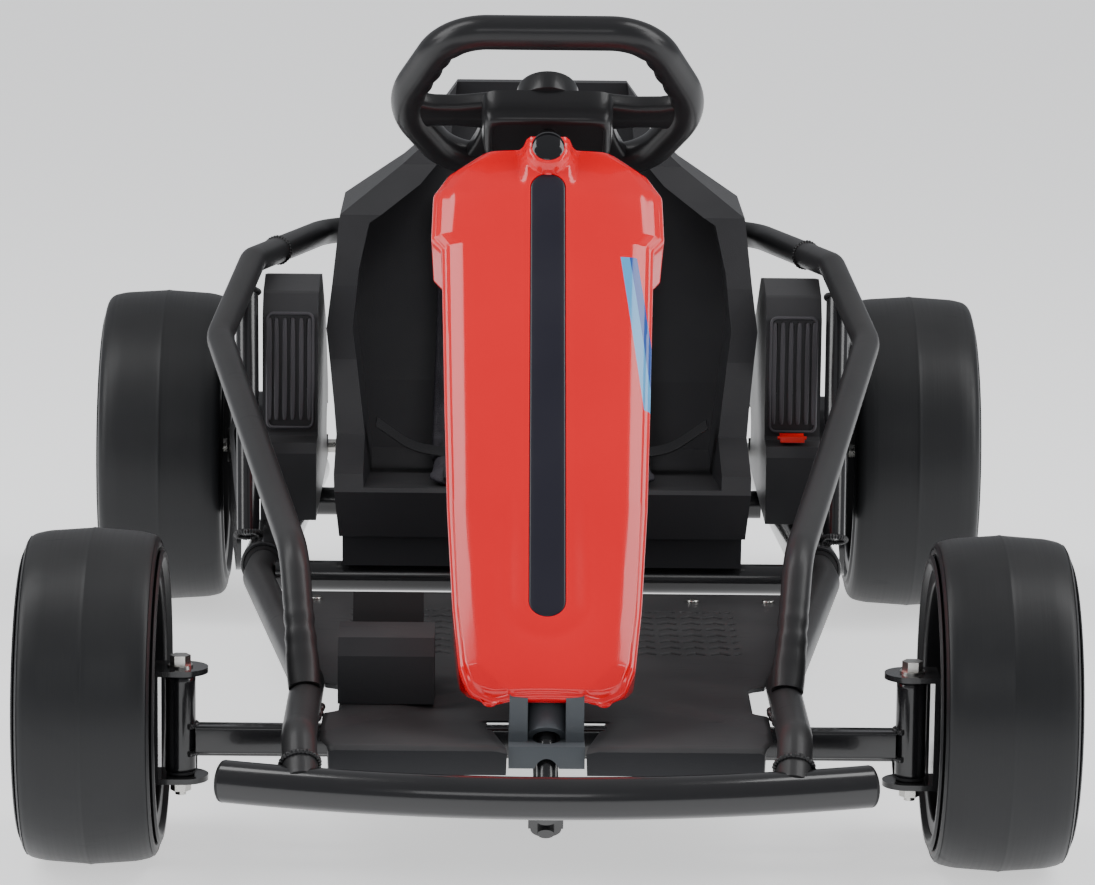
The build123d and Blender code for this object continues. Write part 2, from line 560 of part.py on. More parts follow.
def pedal_housing():
    """Switch box on the floor with two ears that carry the pedal's pin."""
    box = side_slab([(45, PAN_TOP), (47, 140), (56, 152), (90, 156), (96, 150), (96, PAN_TOP)], -151, -81)
    box = fillet(box.edges().filter_by(Axis.Z), 4)
    box -= side_slab([(49, PAN_TOP - 1), (51, 138), (58, 148), (88, 151), (92, 148), (92, PAN_TOP - 1)], -147, -85)
    for x in (-149, -87):
        ear = block(x, x + 4, 96, 114, PAN_TOP, 120)
        box += ear
    return box - bar_x(3, -160, -70, *PEDAL_PIVOT)


def accelerator_pedal():
    """Foot plate on a cross pin, with an opening for its return spring."""
    y, z = PEDAL_PIVOT
    profile = [(y - 4, z - 4), (y + 14, z + 58), (y + 22, z + 56), (y + 4, z - 4)]
    pad = side_slab(profile, PEDAL_X - 26, PEDAL_X + 26)
    pad += bar_x(6, PEDAL_X - 26, PEDAL_X + 26, y, z)
    pad -= block(PEDAL_X - 8, PEDAL_X + 8, y - 12, y + 12, z - 10, z + 10)
    return pad + bar_x(2.95, -150, -82, y, z)


def pedal_spring():
    """Torsion spring wound round the pedal's pin."""
    coil = Helix(pitch=2.4, height=9.6, radius=5)
    wire = sweep(Plane(origin=coil @ 0, z_dir=coil % 0) * Circle(0.7), path=coil)
    return Pos(PEDAL_X - 4.8, *PEDAL_PIVOT) * Rot(0, 90, 0) * wire


# ---- Seat, battery and motor covers ----

SEAT_HALF_OUTLINE = [(160, 128), (167, 190), (172, 230), (180, 285), (176, 320), (171, 372), (120, 405),
                     (96, 425), (86, 452), (74, 468)]
SEAT_CAVITY_HALF = [(138, 150), (146, 210), (158, 285), (154, 330), (146, 366), (104, 392), (80, 415),
                    (74, 470), (74, 520)]
SEAT_SIDE = [(425, 150), (425, 186), (450, 196), (560, 208), (610, 262), (648, 318), (690, 372), (770, 405),
             (838, 470), (866, 470), (842, 396), (752, 206), (700, 150)]
SEAT_SURFACE = [(400, 192), (470, 184), (600, 172), (652, 180), (684, 232), (800, 396), (846, 455), (846, 600),
                (400, 600)]


def seat_shell():
    """Moulded bucket seat: base, wings and headrest round an open hollow."""
    outer = front_slab(mirrored_outline(SEAT_HALF_OUTLINE), 400, 900) & side_slab(SEAT_SIDE, -200, 200)
    hollow = front_slab(mirrored_outline(SEAT_CAVITY_HALF), 300, 900) & side_slab(SEAT_SURFACE, -200, 200)
    return outer - hollow


def seat_pad():
    """Upholstered centre panel of the seat and backrest."""
    under = [(445, 187.5), (470, 184.4), (600, 172.4), (651.6, 180.6), (683, 232), (792, 385.5)]
    over = [(785, 391), (676, 238), (645, 190), (598, 181.4), (470, 193.4), (445, 196.5)]
    return side_slab(under + over, -96, 96)


def seat_base():
    """Plinth under the seat, hollow, standing on the cross tubes."""
    outer = side_slab([(436, 124), (432, 149.5), (699, 149.5), (699, 124)], -160, 160)
    return outer - side_slab([(440, 123), (437, 146), (695, 146), (695, 123)], -156, 156)


def battery():
    """Two sealed batteries in one pack behind the seat."""
    pack = block(-66, 66, 704, 842, 124, 198)
    pack -= block(-70, 70, 700, 756, 150, 200)
    return pack


def control_box():
    """Controller under the plinth."""
    return fillet(block(-55, 55, 480, 560, 126, 144).edges().filter_by(Axis.Z), 4)


BELT_WIDTH, BELT_THICKNESS, BELT_STATION = 38.0, 2.0, 560.0


def belt(side):
    """Webbing strap from the seat's wing down across the cushion to the buckle."""
    low = [(27, 186), (74, 187), (112, 194), (137, 214)]
    outline = [(side * x, z) for x, z in low + [(x, z + BELT_THICKNESS) for x, z in reversed(low)]]
    return front_slab(outline, BELT_STATION, BELT_STATION + BELT_WIDTH)


def belt_buckle():
    """Buckle body with a well for its release button."""
    body = block(-26, 26, BELT_STATION + 2, BELT_STATION + 36, 186, 200)
    body = fillet(body.edges().filter_by(Axis.Z), 5)
    return body - block(-9, 9, BELT_STATION + 9, BELT_STATION + 29, 193, 201)


def belt_release():
    """Push button in the top of the buckle."""
    return block(-8.6, 8.6, BELT_STATION + 9.4, BELT_STATION + 28.6, 196.5, 203)


COVER_INNER_X, COVER_OUTER_X = 186.0, 232.0
COVER_SIDE = [(600, 202), (600, 300), (614, 318), (650, 327), (700, 320), (790, 268), (850, 200), (858, 134),
              (566, 134), (566, 190), (572, 198), (598, 199)]


def motor_cover():
    """Tower cover over the motor: louvred front, domed top and a ledge for the switch."""
    outer = side_slab(COVER_SIDE, COVER_INNER_X, COVER_OUTER_X)
    outer = fillet(outer.edges().filter_by(Axis.X).sort_by(Axis.Z)[-4:], 6)
    shrunk = [(y * 0.97 + 20.5, z * 0.985 + 0.5) for y, z in COVER_SIDE]
    inner = side_slab(shrunk, COVER_INNER_X + 2.5, COVER_OUTER_X - 2.5)
    shell = outer - inner - block(COVER_INNER_X + 2.5, COVER_OUTER_X - 2.5, 585, 840, 120, 150)
    for slot in range(3):
        x = 193.5 + 13.5 * slot
        shell -= block(x - 2, x + 2, 590, 606, 238, 297)
    return shell - bar_x(21, 180, 240, PINION_STATION, PINION_HEIGHT)


SWITCH_X, SWITCH_STATION, SWITCH_HEIGHT = 208.0, 584.0, 200.0


def power_switch():
    """Rocker whose two halves rise and fall by turns, with its pin."""
    pin = bar_x(1.5, SWITCH_X - 12, SWITCH_X + 12, SWITCH_STATION, SWITCH_HEIGHT + 3.5)
    low, mid, high = SWITCH_HEIGHT + 1, SWITCH_HEIGHT + 4, SWITCH_HEIGHT + 6
    front, back = SWITCH_STATION - 8, SWITCH_STATION + 8
    profile = [(front, high), (SWITCH_STATION, mid), (back, high), (back, low), (front, low)]
    return side_slab(profile, SWITCH_X - 10, SWITCH_X + 10) + pin


def body_screws():
    """Pan-head screws that hold the hood's foot and the floor pan."""
    screws = []
    for x, y, z in ((-30, 110, PAN_TOP), (30, 110, PAN_TOP), (-120, 395, PAN_TOP), (120, 395, PAN_TOP),
                    (-180, 395, PAN_TOP), (180, 395, PAN_TOP)):
        head = Pos(x, y, z) * extrude(Circle(5), 2.5)
        screws.append(fillet(head.edges().sort_by(Axis.Z)[-1], 1.2))
    return screws


# ---- Write every sub-part ----

save("bumper", bumper_bar())
save("bumper_caps", *[on_side(bumper_cap(), side) for side in SIDES.values()])
save("front_beam", front_beam())
save("nylon_bushes", *kingpin_bushes(), column_bush())
save("track_rod", track_rod())
save("rear_hoop", rear_hoop())
save("seat_crossbars", *seat_crossbars())
save("rear_axle", bar_x(AXLE_RADIUS, -374, 374, WHEELBASE, REAR_TYRE_RADIUS))
save("floor_pan", floor_pan())
save("steering_support", steering_support())
save("hood", hood())
save("hood_stripe", hood_stripe())
save("steering_column", steering_column())
save("steering_wheel", steering_wheel())
save("wheel_module", wheel_module())
save("horn_button", horn_button())
save("pedal_housing", pedal_housing())
save("accelerator_pedal", accelerator_pedal())
save("pedal_spring", pedal_spring())
save("seat_base", seat_base())
save("seat_shell", seat_shell())
save("seat_pad", seat_pad())
save("battery", battery())
save("control_box", control_box())
save("belt_buckle", belt_buckle())
save("belt_release", belt_release())
save("power_switch", power_switch())
save("body_screws", *body_screws())
save("hoop_posts", *[on_side(hoop_post(), side) for side in SIDES.values()])
save("rail_sleeves", *[on_side(rail_sleeve(), side) for side in SIDES.values()])
save("gearboxes", *[on_side(gearbox(), side) for side in SIDES.values()])
save("drive_motors", *[on_side(motor(), side) for side in SIDES.values()])
bumper_solid = bumper_bar(None)
for name, side in SIDES.items():
    save(f"knuckle_{name}", on_side(knuckle(), side))
    save(f"knuckle_fasteners_{name}", *[on_side(piece, side) for piece in knuckle_fasteners() + [arm_pins()]])
    save(f"lower_rail_{name}", on_side(lower_rail() - bumper_solid, side))
    save(f"rear_rail_{name}", on_side(rear_rail(), side))
    save(f"side_bar_{name}", on_side(side_bar(), side))
    save(f"axle_plate_{name}", on_side(axle_plate(), side))
    save(f"motor_cover_{name}", on_side(motor_cover(), side))
    save(f"belt_{name}", belt(side))
    save(f"drive_gear_{name}", on_side(drive_gear(), side))
    save(f"motor_pinion_{name}", on_side(motor_pinion(), side))
    front = (side, FRONT_TRACK_HALF, 0, FRONT_TYRE_RADIUS)
    rear = (side, REAR_TRACK_HALF, WHEELBASE, REAR_TYRE_RADIUS)
    tread = tyre(FRONT_TYRE_RADIUS, FRONT_TYRE_WIDTH, FRONT_BEAD_RADIUS)
    save(f"front_tyre_{name}", place_wheel(tread, *front))
    save(f"front_rim_{name}", place_wheel(rim(FRONT_BEAD_RADIUS, FRONT_TYRE_WIDTH, -36, 29, 8), *front),
         place_wheel(hub_cap(29, 46), *front))
    tread = tyre(REAR_TYRE_RADIUS, REAR_TYRE_WIDTH, REAR_BEAD_RADIUS)
    save(f"rear_tyre_{name}", place_wheel(tread, *rear))
    save(f"rear_rim_{name}", place_wheel(rim(REAR_BEAD_RADIUS, REAR_TYRE_WIDTH, -52, 34, 10), *rear),
         place_wheel(hub_cap(34, 51), *rear))
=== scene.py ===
import json
from math import cos, pi, radians, sin

import bmesh
import bpy
import numpy as np
from mathutils import Matrix, Vector


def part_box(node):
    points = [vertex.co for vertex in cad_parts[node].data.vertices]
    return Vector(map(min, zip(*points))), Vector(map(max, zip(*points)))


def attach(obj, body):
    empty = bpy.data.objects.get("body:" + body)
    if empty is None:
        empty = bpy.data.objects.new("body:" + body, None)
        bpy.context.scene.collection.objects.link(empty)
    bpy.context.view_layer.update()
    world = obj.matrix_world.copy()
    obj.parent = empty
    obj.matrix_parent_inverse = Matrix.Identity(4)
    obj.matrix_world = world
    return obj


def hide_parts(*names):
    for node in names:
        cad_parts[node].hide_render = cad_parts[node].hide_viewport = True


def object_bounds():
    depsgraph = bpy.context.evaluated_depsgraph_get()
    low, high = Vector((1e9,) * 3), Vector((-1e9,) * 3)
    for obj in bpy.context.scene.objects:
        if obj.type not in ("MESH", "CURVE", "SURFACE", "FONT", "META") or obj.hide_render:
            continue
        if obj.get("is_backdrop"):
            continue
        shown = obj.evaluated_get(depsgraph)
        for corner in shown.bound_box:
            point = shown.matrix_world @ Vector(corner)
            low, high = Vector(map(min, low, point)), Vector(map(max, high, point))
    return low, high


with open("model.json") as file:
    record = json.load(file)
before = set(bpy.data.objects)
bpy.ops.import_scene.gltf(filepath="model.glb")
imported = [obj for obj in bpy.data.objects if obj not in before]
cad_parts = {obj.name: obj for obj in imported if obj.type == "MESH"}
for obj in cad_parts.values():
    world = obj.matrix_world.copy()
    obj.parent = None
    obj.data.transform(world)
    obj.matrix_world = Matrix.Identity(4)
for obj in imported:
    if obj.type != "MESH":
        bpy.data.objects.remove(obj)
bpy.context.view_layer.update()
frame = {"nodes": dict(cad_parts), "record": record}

# ---- Studio ----
# A pale seamless floor, a white surround, two soft banks overhead with a gap over the middle, two long
# side lights and a front fill. The camera stands in front of the nose, a little to one side and above.


def aim(obj, place, target):
    """Stand an object at place, its -Z axis towards target."""
    obj.location = place
    obj.rotation_euler = (Vector(target) - Vector(place)).to_track_quat("-Z", "Y").to_euler()
    bpy.context.collection.objects.link(obj)
    return obj


def preset(node, **values):
    """Set a node's inputs by name, with _ where the name has a space."""
    for label, value in values.items():
        node.inputs[label.replace("_", " ")].default_value = value


LENS, SENSOR_WIDTH = 162.6, 36.0
CAMERA_PLACE = (-0.0388, -3.88025, 0.9564)
YAW, PITCH, ROLL = -0.0109, 0.1859, 0.0111

camera_data = bpy.data.cameras.new("camera")
camera_data.lens, camera_data.sensor_width = LENS, SENSOR_WIDTH
camera_data.clip_start, camera_data.clip_end = 0.1, 100.0
camera = bpy.data.objects.new("camera", camera_data)
bpy.context.collection.objects.link(camera)
ahead = Vector((-sin(YAW) * cos(PITCH), cos(YAW) * cos(PITCH), -sin(PITCH)))
across = Vector((cos(YAW), sin(YAW), 0.0))
above = across.cross(ahead)
right = across * cos(ROLL) + above * sin(ROLL)
up = above * cos(ROLL) - across * sin(ROLL)
turned = Matrix((right, up, -ahead)).transposed().to_4x4()
camera.matrix_world = Matrix.Translation(CAMERA_PLACE) @ turned
bpy.context.scene.camera = camera

world = bpy.data.worlds.new("studio")
world.use_nodes = True
preset(world.node_tree.nodes["Background"], Color=(0.93, 0.95, 1.0, 1.0), Strength=0.36)
bpy.context.scene.world = world

for label, place, target, width, depth, power in (
        ("bank_left", (-1.9, -0.2, 2.3), (0.0, 0.0, 0.2), 0.9, 2.6, 36.0),
        ("bank_right", (1.9, -0.2, 2.3), (0.0, 0.0, 0.2), 0.9, 2.6, 36.0),
        ("soft_left", (-3.0, -1.3, 1.5), (0.0, 0.0, 0.25), 0.9, 2.4, 27.0),
        ("soft_right", (3.0, -1.3, 1.5), (0.0, 0.0, 0.25), 0.9, 2.4, 27.0),
        ("front_fill", (-0.4, -4.3, 2.3), (0.0, 0.0, 0.25), 1.8, 1.0, 13.0)):
    lamp = bpy.data.lights.new(label, "AREA")
    lamp.shape, lamp.size, lamp.size_y, lamp.energy = "RECTANGLE", width, depth, power
    aim(bpy.data.objects.new(label, lamp), place, target)


def skin(name, grid, wrap_rows=False, wrap_cols=True, capped=True, sharp=34.0):
    """Mesh over a grid of points (rows, columns, 3). Columns join round when wrap_cols, the last row
    joins the first when wrap_rows, and otherwise each end row is closed by one face when capped.
    The "flow" attribute holds the distance along the rows and along the columns, in metres."""
    grid = np.asarray(grid, dtype=float)
    rows, cols = grid.shape[:2]
    index = np.arange(rows * cols).reshape(rows, cols)
    if wrap_rows:
        index = np.vstack([index, index[:1]])
    if wrap_cols:
        index = np.hstack([index, index[:, :1]])
    quads = np.stack([index[:-1, :-1], index[1:, :-1], index[1:, 1:], index[:-1, 1:]], axis=-1)
    faces = quads.reshape(-1, 4).tolist()
    if capped and not wrap_rows:
        faces += [np.arange(cols).tolist(), (np.arange(cols)[::-1] + (rows - 1) * cols).tolist()]
    mesh = bpy.data.meshes.new(name)
    mesh.from_pydata(grid.reshape(-1, 3).tolist(), [], faces)
    row_steps = np.linalg.norm(np.diff(grid, axis=0), axis=2).mean(axis=1)
    col_steps = np.linalg.norm(np.diff(grid, axis=1), axis=2).mean(axis=0)
    flow = np.zeros((rows, cols, 3))
    flow[1:, :, 0] = np.cumsum(row_steps)[:, None]
    flow[:, 1:, 1] = np.cumsum(col_steps)[None, :]
    layer = mesh.attributes.new("flow", "FLOAT_VECTOR", "POINT")
    layer.data.foreach_set("vector", flow.ravel())
    work = bmesh.new()
    work.from_mesh(mesh)
    bmesh.ops.remove_doubles(work, verts=work.verts, dist=2e-6)
    bmesh.ops.recalc_face_normals(work, faces=work.faces)
    work.to_mesh(mesh)
    work.free()
    mesh.shade_smooth()
    mesh.set_sharp_from_angle(angle=radians(sharp))
    obj = bpy.data.objects.new(name, mesh)
    bpy.context.collection.objects.link(obj)
    return obj


detail = bpy.data.node_groups.new("surface_detail", "ShaderNodeTree")
detail.interface.new_socket("Vector", in_out="INPUT", socket_type="NodeSocketVector")
detail.interface.new_socket("Grain", in_out="INPUT", socket_type="NodeSocketFloat")
for label in ("Fine", "Broad", "Wear", "Dust"):
    detail.interface.new_socket(label, in_out="OUTPUT", socket_type="NodeSocketFloat")
entry, leave = detail.nodes.new("NodeGroupInput"), detail.nodes.new("NodeGroupOutput")
fine, broad, streak = (detail.nodes.new("ShaderNodeTexNoise") for _ in range(3))
preset(fine, Detail=3.0)
preset(broad, Scale=11.0, Detail=5.0)
preset(streak, Scale=1.0, Detail=6.0)
stretch = detail.nodes.new("ShaderNodeMapping")
preset(stretch, Scale=(34.0, 210.0, 90.0), Rotation=(0.3, 0.5, 0.7))
wear_edge = detail.nodes.new("ShaderNodeMapRange")
preset(wear_edge, From_Min=0.60, From_Max=0.78)
facing = detail.nodes.new("ShaderNodeNewGeometry")
split = detail.nodes.new("ShaderNodeSeparateXYZ")
settle = detail.nodes.new("ShaderNodeMapRange")
preset(settle, From_Min=0.35, From_Max=1.0)
dusty = detail.nodes.new("ShaderNodeMath")
dusty.operation = "MULTIPLY"
for start, end in (
        (entry.outputs["Vector"], fine.inputs["Vector"]),
        (entry.outputs["Grain"], fine.inputs["Scale"]),
        (entry.outputs["Vector"], broad.inputs["Vector"]),
        (entry.outputs["Vector"], stretch.inputs["Vector"]),
        (stretch.outputs["Vector"], streak.inputs["Vector"]),
        (streak.outputs["Fac"], wear_edge.inputs["Value"]),
        (facing.outputs["Normal"], split.inputs["Vector"]),
        (split.outputs["Z"], settle.inputs["Value"]),
        (settle.outputs["Result"], dusty.inputs[0]),
        (broad.outputs["Fac"], dusty.inputs[1]),
        (fine.outputs["Fac"], leave.inputs["Fine"]),
        (broad.outputs["Fac"], leave.inputs["Broad"]),
        (wear_edge.outputs["Result"], leave.inputs["Wear"]),
        (dusty.outputs["Value"], leave.inputs["Dust"])):
    detail.links.new(start, end)

DUST_COLOUR = (0.30, 0.29, 0.28)


class Finish:
    """A procedural material: a base colour and roughness broken up by the surface_detail group."""

    def __init__(self, name, colour, rough, grain=900.0, bump=0.12, metal=0.0, coat=0.0, patchy=0.10,
                 wear=0.08, dust=0.0, light=1.35):
        self.material = bpy.data.materials.new(name)
        self.material.use_nodes = True
        self.tree = self.material.node_tree
        self.shader = self.tree.nodes["Principled BSDF"]
        preset(self.shader, Metallic=metal, Specular_IOR_Level=0.5 if metal else 0.30,
               Coat_Weight=coat, Coat_Roughness=0.06)
        self.detail = self.add("ShaderNodeGroup")
        self.detail.node_tree = detail
        preset(self.detail, Grain=grain)
        self.link(self.add("ShaderNodeTexCoord").outputs["Object"], self.detail.inputs["Vector"])
        self.colour = self.blend(self.detail.outputs["Broad"], colour, [c * light for c in colour])
        dusted = self.maths("MULTIPLY", self.detail.outputs["Dust"], dust)
        self.colour = self.blend(dusted, self.colour, DUST_COLOUR)
        uneven = self.maths("MULTIPLY_ADD", self.detail.outputs["Broad"], patchy, rough - patchy / 2)
        self.rough = self.maths("MULTIPLY_ADD", self.detail.outputs["Wear"], wear, uneven)
        self.height = self.maths("MULTIPLY", self.detail.outputs["Fine"], bump)
        self.link(self.colour, self.shader.inputs["Base Color"])
        self.link(self.rough, self.shader.inputs["Roughness"])
        self.bump = self.add("ShaderNodeBump")
        preset(self.bump, Distance=0.0006, Strength=0.5)
        self.link(self.height, self.bump.inputs["Height"])
        self.link(self.bump.outputs["Normal"], self.shader.inputs["Normal"])

    def add(self, kind):
        return self.tree.nodes.new(kind)

    def link(self, start, end):
        self.tree.links.new(start, end)

    def feed(self, value, socket):
        """Link a node's output, or set a constant on the socket itself."""
        if isinstance(value, bpy.types.NodeSocket):
            self.link(value, socket)
        elif socket.type == "RGBA":
            socket.default_value = (*value, 1.0)
        else:
            socket.default_value = value

    def maths(self, operation, *values):
        node = self.add("ShaderNodeMath")
        node.operation = operation
        for value, socket in zip(values, node.inputs):
            self.feed(value, socket)
        return node.outputs["Value"]

    def blend(self, mask, first, second):
        node = self.add("ShaderNodeMix")
        node.data_type = "RGBA"
        self.feed(mask, node.inputs["Factor"])
        self.feed(first, node.inputs[6])
        self.feed(second, node.inputs[7])
        return node.outputs[2]

    def flow(self):
        """The piece's own (along, round) distances as three separate values."""
        source = self.add("ShaderNodeAttribute")
        source.attribute_name = "flow"
        parts = self.add("ShaderNodeSeparateXYZ")
        self.link(source.outputs["Vector"], parts.inputs["Vector"])
        return parts.outputs

    def ramp(self, value, low, high):
        node = self.add("ShaderNodeMapRange")
        self.feed(value, node.inputs["Value"])
        preset(node, From_Min=low, From_Max=high)
        return node.outputs["Result"]

    def repaint(self, colour):
        self.colour = colour
        self.link(colour, self.shader.inputs["Base Color"])

    def roughen(self, rough):
        self.rough = rough
        self.link(rough, self.shader.inputs["Roughness"])

    def emboss(self, height):
        """Add more relief to the bump."""
        self.height = self.maths("ADD", self.height, height)
        self.link(self.height, self.bump.inputs["Height"])


def fit(obj, finish, slot, body, *nodes):
    """Finish a piece, hang it on the empty of the body it rides on and hide the CAD nodes it stands for. The
    slot argument is not used.
    """
    obj.data.materials.append(finish.material)
    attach(obj, body)
    if nodes:
        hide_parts(*nodes)
    return obj


def dress(finish, *nodes, soften=0.0):
    """Give CAD nodes a procedural finish, and a small rounding of their edges."""
    for node in nodes:
        obj = frame["nodes"][node]
        for holder in obj.material_slots:
            holder.material = finish.material
        if soften:
            rounding = obj.modifiers.new("rounding", "BEVEL")
            rounding.width, rounding.segments, rounding.limit_method = soften, 3, "ANGLE"
            rounding.angle_limit = radians(40)
            rounding.harden_normals = True


floor = skin("studio_floor", [[(x, y, -0.0012) for x in (-40, 40)] for y in (-30, 50)], False, False, False)
floor_finish = Finish("studio_floor", (0.86, 0.87, 0.88), 0.7, grain=60.0, bump=0.02, light=1.02)
preset(floor_finish.shader, Emission_Color=(1.0, 1.0, 1.0, 1.0), Emission_Strength=0.85)
floor.data.materials.append(floor_finish.material)
floor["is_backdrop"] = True

# ---- Wheels ----
# Blow-moulded tread rings, smooth with a mould seam round the middle, on moulded rims: a barrel, a
# web with five shallow recesses and a rib between each two, and a snap-on cap over the axle nut.


def fillet_path(points, radii, steps=7, closed=False):
    """Round the corners of a polyline: each corner becomes an arc tangent to both of its sides."""
    points = [np.asarray(p, dtype=float) for p in points]
    count = len(points)
    if not closed:
        radii = [0.0, *radii, 0.0]
    out = []
    for k, (corner, radius) in enumerate(zip(points, radii)):
        if radius <= 0:
            out.append(corner)
            continue
        before, after = points[k - 1] - corner, points[(k + 1) % count] - corner
        before, after = before / np.linalg.norm(before), after / np.linalg.norm(after)
        half = np.arccos(np.clip(before @ after, -1, 1)) / 2
        if half > pi / 2 - 0.005:
            out.append(corner)
            continue
        middle = (before + after) / np.linalg.norm(before + after)
        centre = corner + middle * radius / sin(half)
        first = corner + before * radius / np.tan(half) - centre
        last = corner + after * radius / np.tan(half) - centre
        sweep = pi - 2 * half
        for share in np.linspace(0, 1, steps):
            out.append(centre + (first * sin((1 - share) * sweep) + last * sin(share * sweep)) / sin(sweep))
    return np.array(out)


def spaced(path, step, closed=False):
    """Add points along long straight runs so that none is longer than step."""
    ends = np.vstack([path, path[:1]]) if closed else path
    out = []
    for near, far in zip(ends[:-1], ends[1:]):
        pieces = max(1, int(np.ceil(np.linalg.norm(far - near) / step)))
        out.extend(near + (far - near) * k / pieces for k in range(pieces))
    return np.array(out if closed else out + [ends[-1]])


def lathe(name, profile, centre, side, turns=168, sharp=34.0):
    """Turn a closed profile of (radius, outward offset) about the X axis through centre."""
    angle = np.linspace(0, 2 * pi, turns, endpoint=False)[:, None]
    radius, offset = profile[None, :, 0], profile[None, :, 1]
    grid = np.stack([centre[0] + side * offset + 0 * angle, centre[1] + radius * np.cos(angle),
                     centre[2] + radius * np.sin(angle)], axis=-1)
    return skin(name, grid, wrap_rows=True, sharp=sharp)


SIDES = (("left", 1), ("right", -1))

tyre_finish = Finish("tyre_rubber", (0.011, 0.0115, 0.0125), 0.37, grain=1500.0, bump=0.10,
                     patchy=0.14, wear=0.10, dust=0.10)
tyre_flow = tyre_finish.flow()
rings = tyre_finish.add("ShaderNodeTexNoise")
rings.noise_dimensions = "1D"
preset(rings, Scale=420.0, Detail=3.0)
tyre_finish.link(tyre_flow["Y"], rings.inputs["W"])
tyre_finish.emboss(tyre_finish.maths("MULTIPLY", rings.outputs["Fac"], 0.16))
tyre_finish.roughen(tyre_finish.maths("MULTIPLY_ADD", rings.outputs["Fac"], 0.08, tyre_finish.rough))
rim_finish = Finish("rim_plastic", (0.012, 0.012, 0.013), 0.42, grain=1200.0, bump=0.2, dust=0.06)
cap_finish = Finish("hub_cap_gloss", (0.010, 0.010, 0.011), 0.16, grain=700.0, bump=0.05, coat=0.3)

for end, lip_depth, web_at, cap_at in (("front", 0.0245, 0.008, 0.046), ("rear", 0.0275, 0.010, 0.051)):
    for name, side in SIDES:
        low, high = (np.array(corner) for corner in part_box(f"{end}_tyre_{name}"))
        centre, radius, half = (low + high) / 2, (high[2] - low[2]) / 2, (high[0] - low[0]) / 2
        lip, cap = radius - lip_depth, radius - 0.0025
        outer = [(lip, half - 0.0035), (lip + 0.0035, half), (lip + 0.0075, half),
                 (lip + 0.0095, half - 0.0022), (cap - 0.0105, half - 0.0008),
                 (cap - 0.0028, half - 0.0055), (cap, half - 0.017),
                 (radius - 0.0003, 0.003), (radius, 0.0009), (radius + 0.00025, 0.0)]
        inner = [(r, -s) for r, s in reversed(outer[:-1])]
        walls = [(lip, 0.008 - half), (cap - 0.009, 0.008 - half),
                 (cap - 0.009, half - 0.008), (lip, half - 0.008)]
        bends = [0.0012, 0.0012, 0.0012, 0.0015, 0.012, 0.010, 0.05, 0.0, 0.0, 0.0]
        bends = bends + bends[-2::-1] + [0.0] * 4
        tread = spaced(fillet_path(outer + inner + walls, bends, 6, closed=True), 0.006, closed=True)
        fit(lathe(f"tread_{end}_{name}", tread, centre, side), tyre_finish, "tyre_black",
            f"{end}_wheel_{name}", f"{end}_tyre_{name}")
        well = lip - 0.006
        barrel = [(lip - 0.0003, half - 0.009), (lip - 0.0003, half - 0.0035),
                  (well - 0.004, half - 0.0035), (well - 0.0055, half - 0.012),
                  (well - 0.002, web_at + 0.012), (well - 0.002, -0.6 * half),
                  (well - 0.005, 0.0045 - half), (lip - 0.0003, 0.0035 - half),
                  (lip - 0.0003, 0.009 - half), (lip - 0.003, 0.012 - half), (lip - 0.003, half - 0.012)]
        barrel_bends = [0.0008, 0.0012, 0.0015, 0.004, 0.004, 0.006, 0.0015, 0.001, 0.0005, 0, 0]
        barrel = spaced(fillet_path(barrel, barrel_bends, 5, True), 0.006, True)
        fit(lathe(f"barrel_{end}_{name}", barrel, centre, side), rim_finish, "wheel_plastic",
            f"{end}_wheel_{name}")
        turn = np.linspace(0, 2 * pi, 240, endpoint=False)[:, None]
        hub, reach = 0.0075, well - 0.0005
        out_r = np.array([*np.linspace(hub, 0.019, 5), *np.linspace(0.0198, 0.024, 4),
                          *np.linspace(0.027, reach, 26)])
        recess = (np.clip(np.cos(5 * turn) * 3.0 - 0.2, 0, 1) * np.clip((out_r - 0.031) / 0.006, 0, 1) *
                  np.clip((reach - 0.010 - out_r) / 0.006, 0, 1))
        rib = np.exp(-(((turn * 5 / pi) % 2 - 1) / 0.10) ** 2)
        collar = np.where(out_r < 0.0195, 1.0, 0.0)
        face = web_at + 0.003 + 0.020 * collar - 0.004 * recess + 0.0035 * rib * (out_r > 0.024)
        back = web_at - 0.005 - half * 0.55 * collar + 0.0 * turn
        front_side = np.stack([out_r + 0 * turn, face + 0 * out_r], axis=-1)
        rear_side = np.stack([out_r + 0 * turn, back + 0 * out_r], axis=-1)[:, ::-1]
        loop = np.concatenate([front_side, rear_side], axis=1)
        grid = np.stack([centre[0] + side * loop[..., 1], centre[1] + loop[..., 0] * np.cos(turn),
                         centre[2] + loop[..., 0] * np.sin(turn)], axis=-1)
        fit(skin(f"web_{end}_{name}", grid, wrap_rows=True), rim_finish, "wheel_plastic",
            f"{end}_wheel_{name}", f"{end}_rim_{name}")
        disc = fillet_path([(0.0, cap_at - 0.001), (0.015, cap_at), (0.0185, cap_at - 0.0015),
                            (0.0210, cap_at - 0.006), (0.0212, web_at + 0.021), (0.0, web_at + 0.021)],
                           [0.002, 0.003, 0.003, 0.003], 5)
        fit(lathe(f"hub_cap_{end}_{name}", spaced(disc, 0.004), centre, side, 72), cap_finish,
            "wheel_plastic", f"{end}_wheel_{name}")

# ---- Front end ----
# Bowed bumper tube with domed plastic plugs; square beam with an upright sleeve welded on each end;
# pressed C brackets on zinc-plated bolts carry the stub axles. Powder-coated black, beads left as laid.

BACK = frame["record"]["behaviour"]["joints"][0]["pos_m"][1] - 0.375


def row(points):
    """Millimetres with Y counted from the front axle, to metres in the row frame."""
    return np.asarray(points, dtype=float) / 1000 + (0.0, BACK, 0.0)


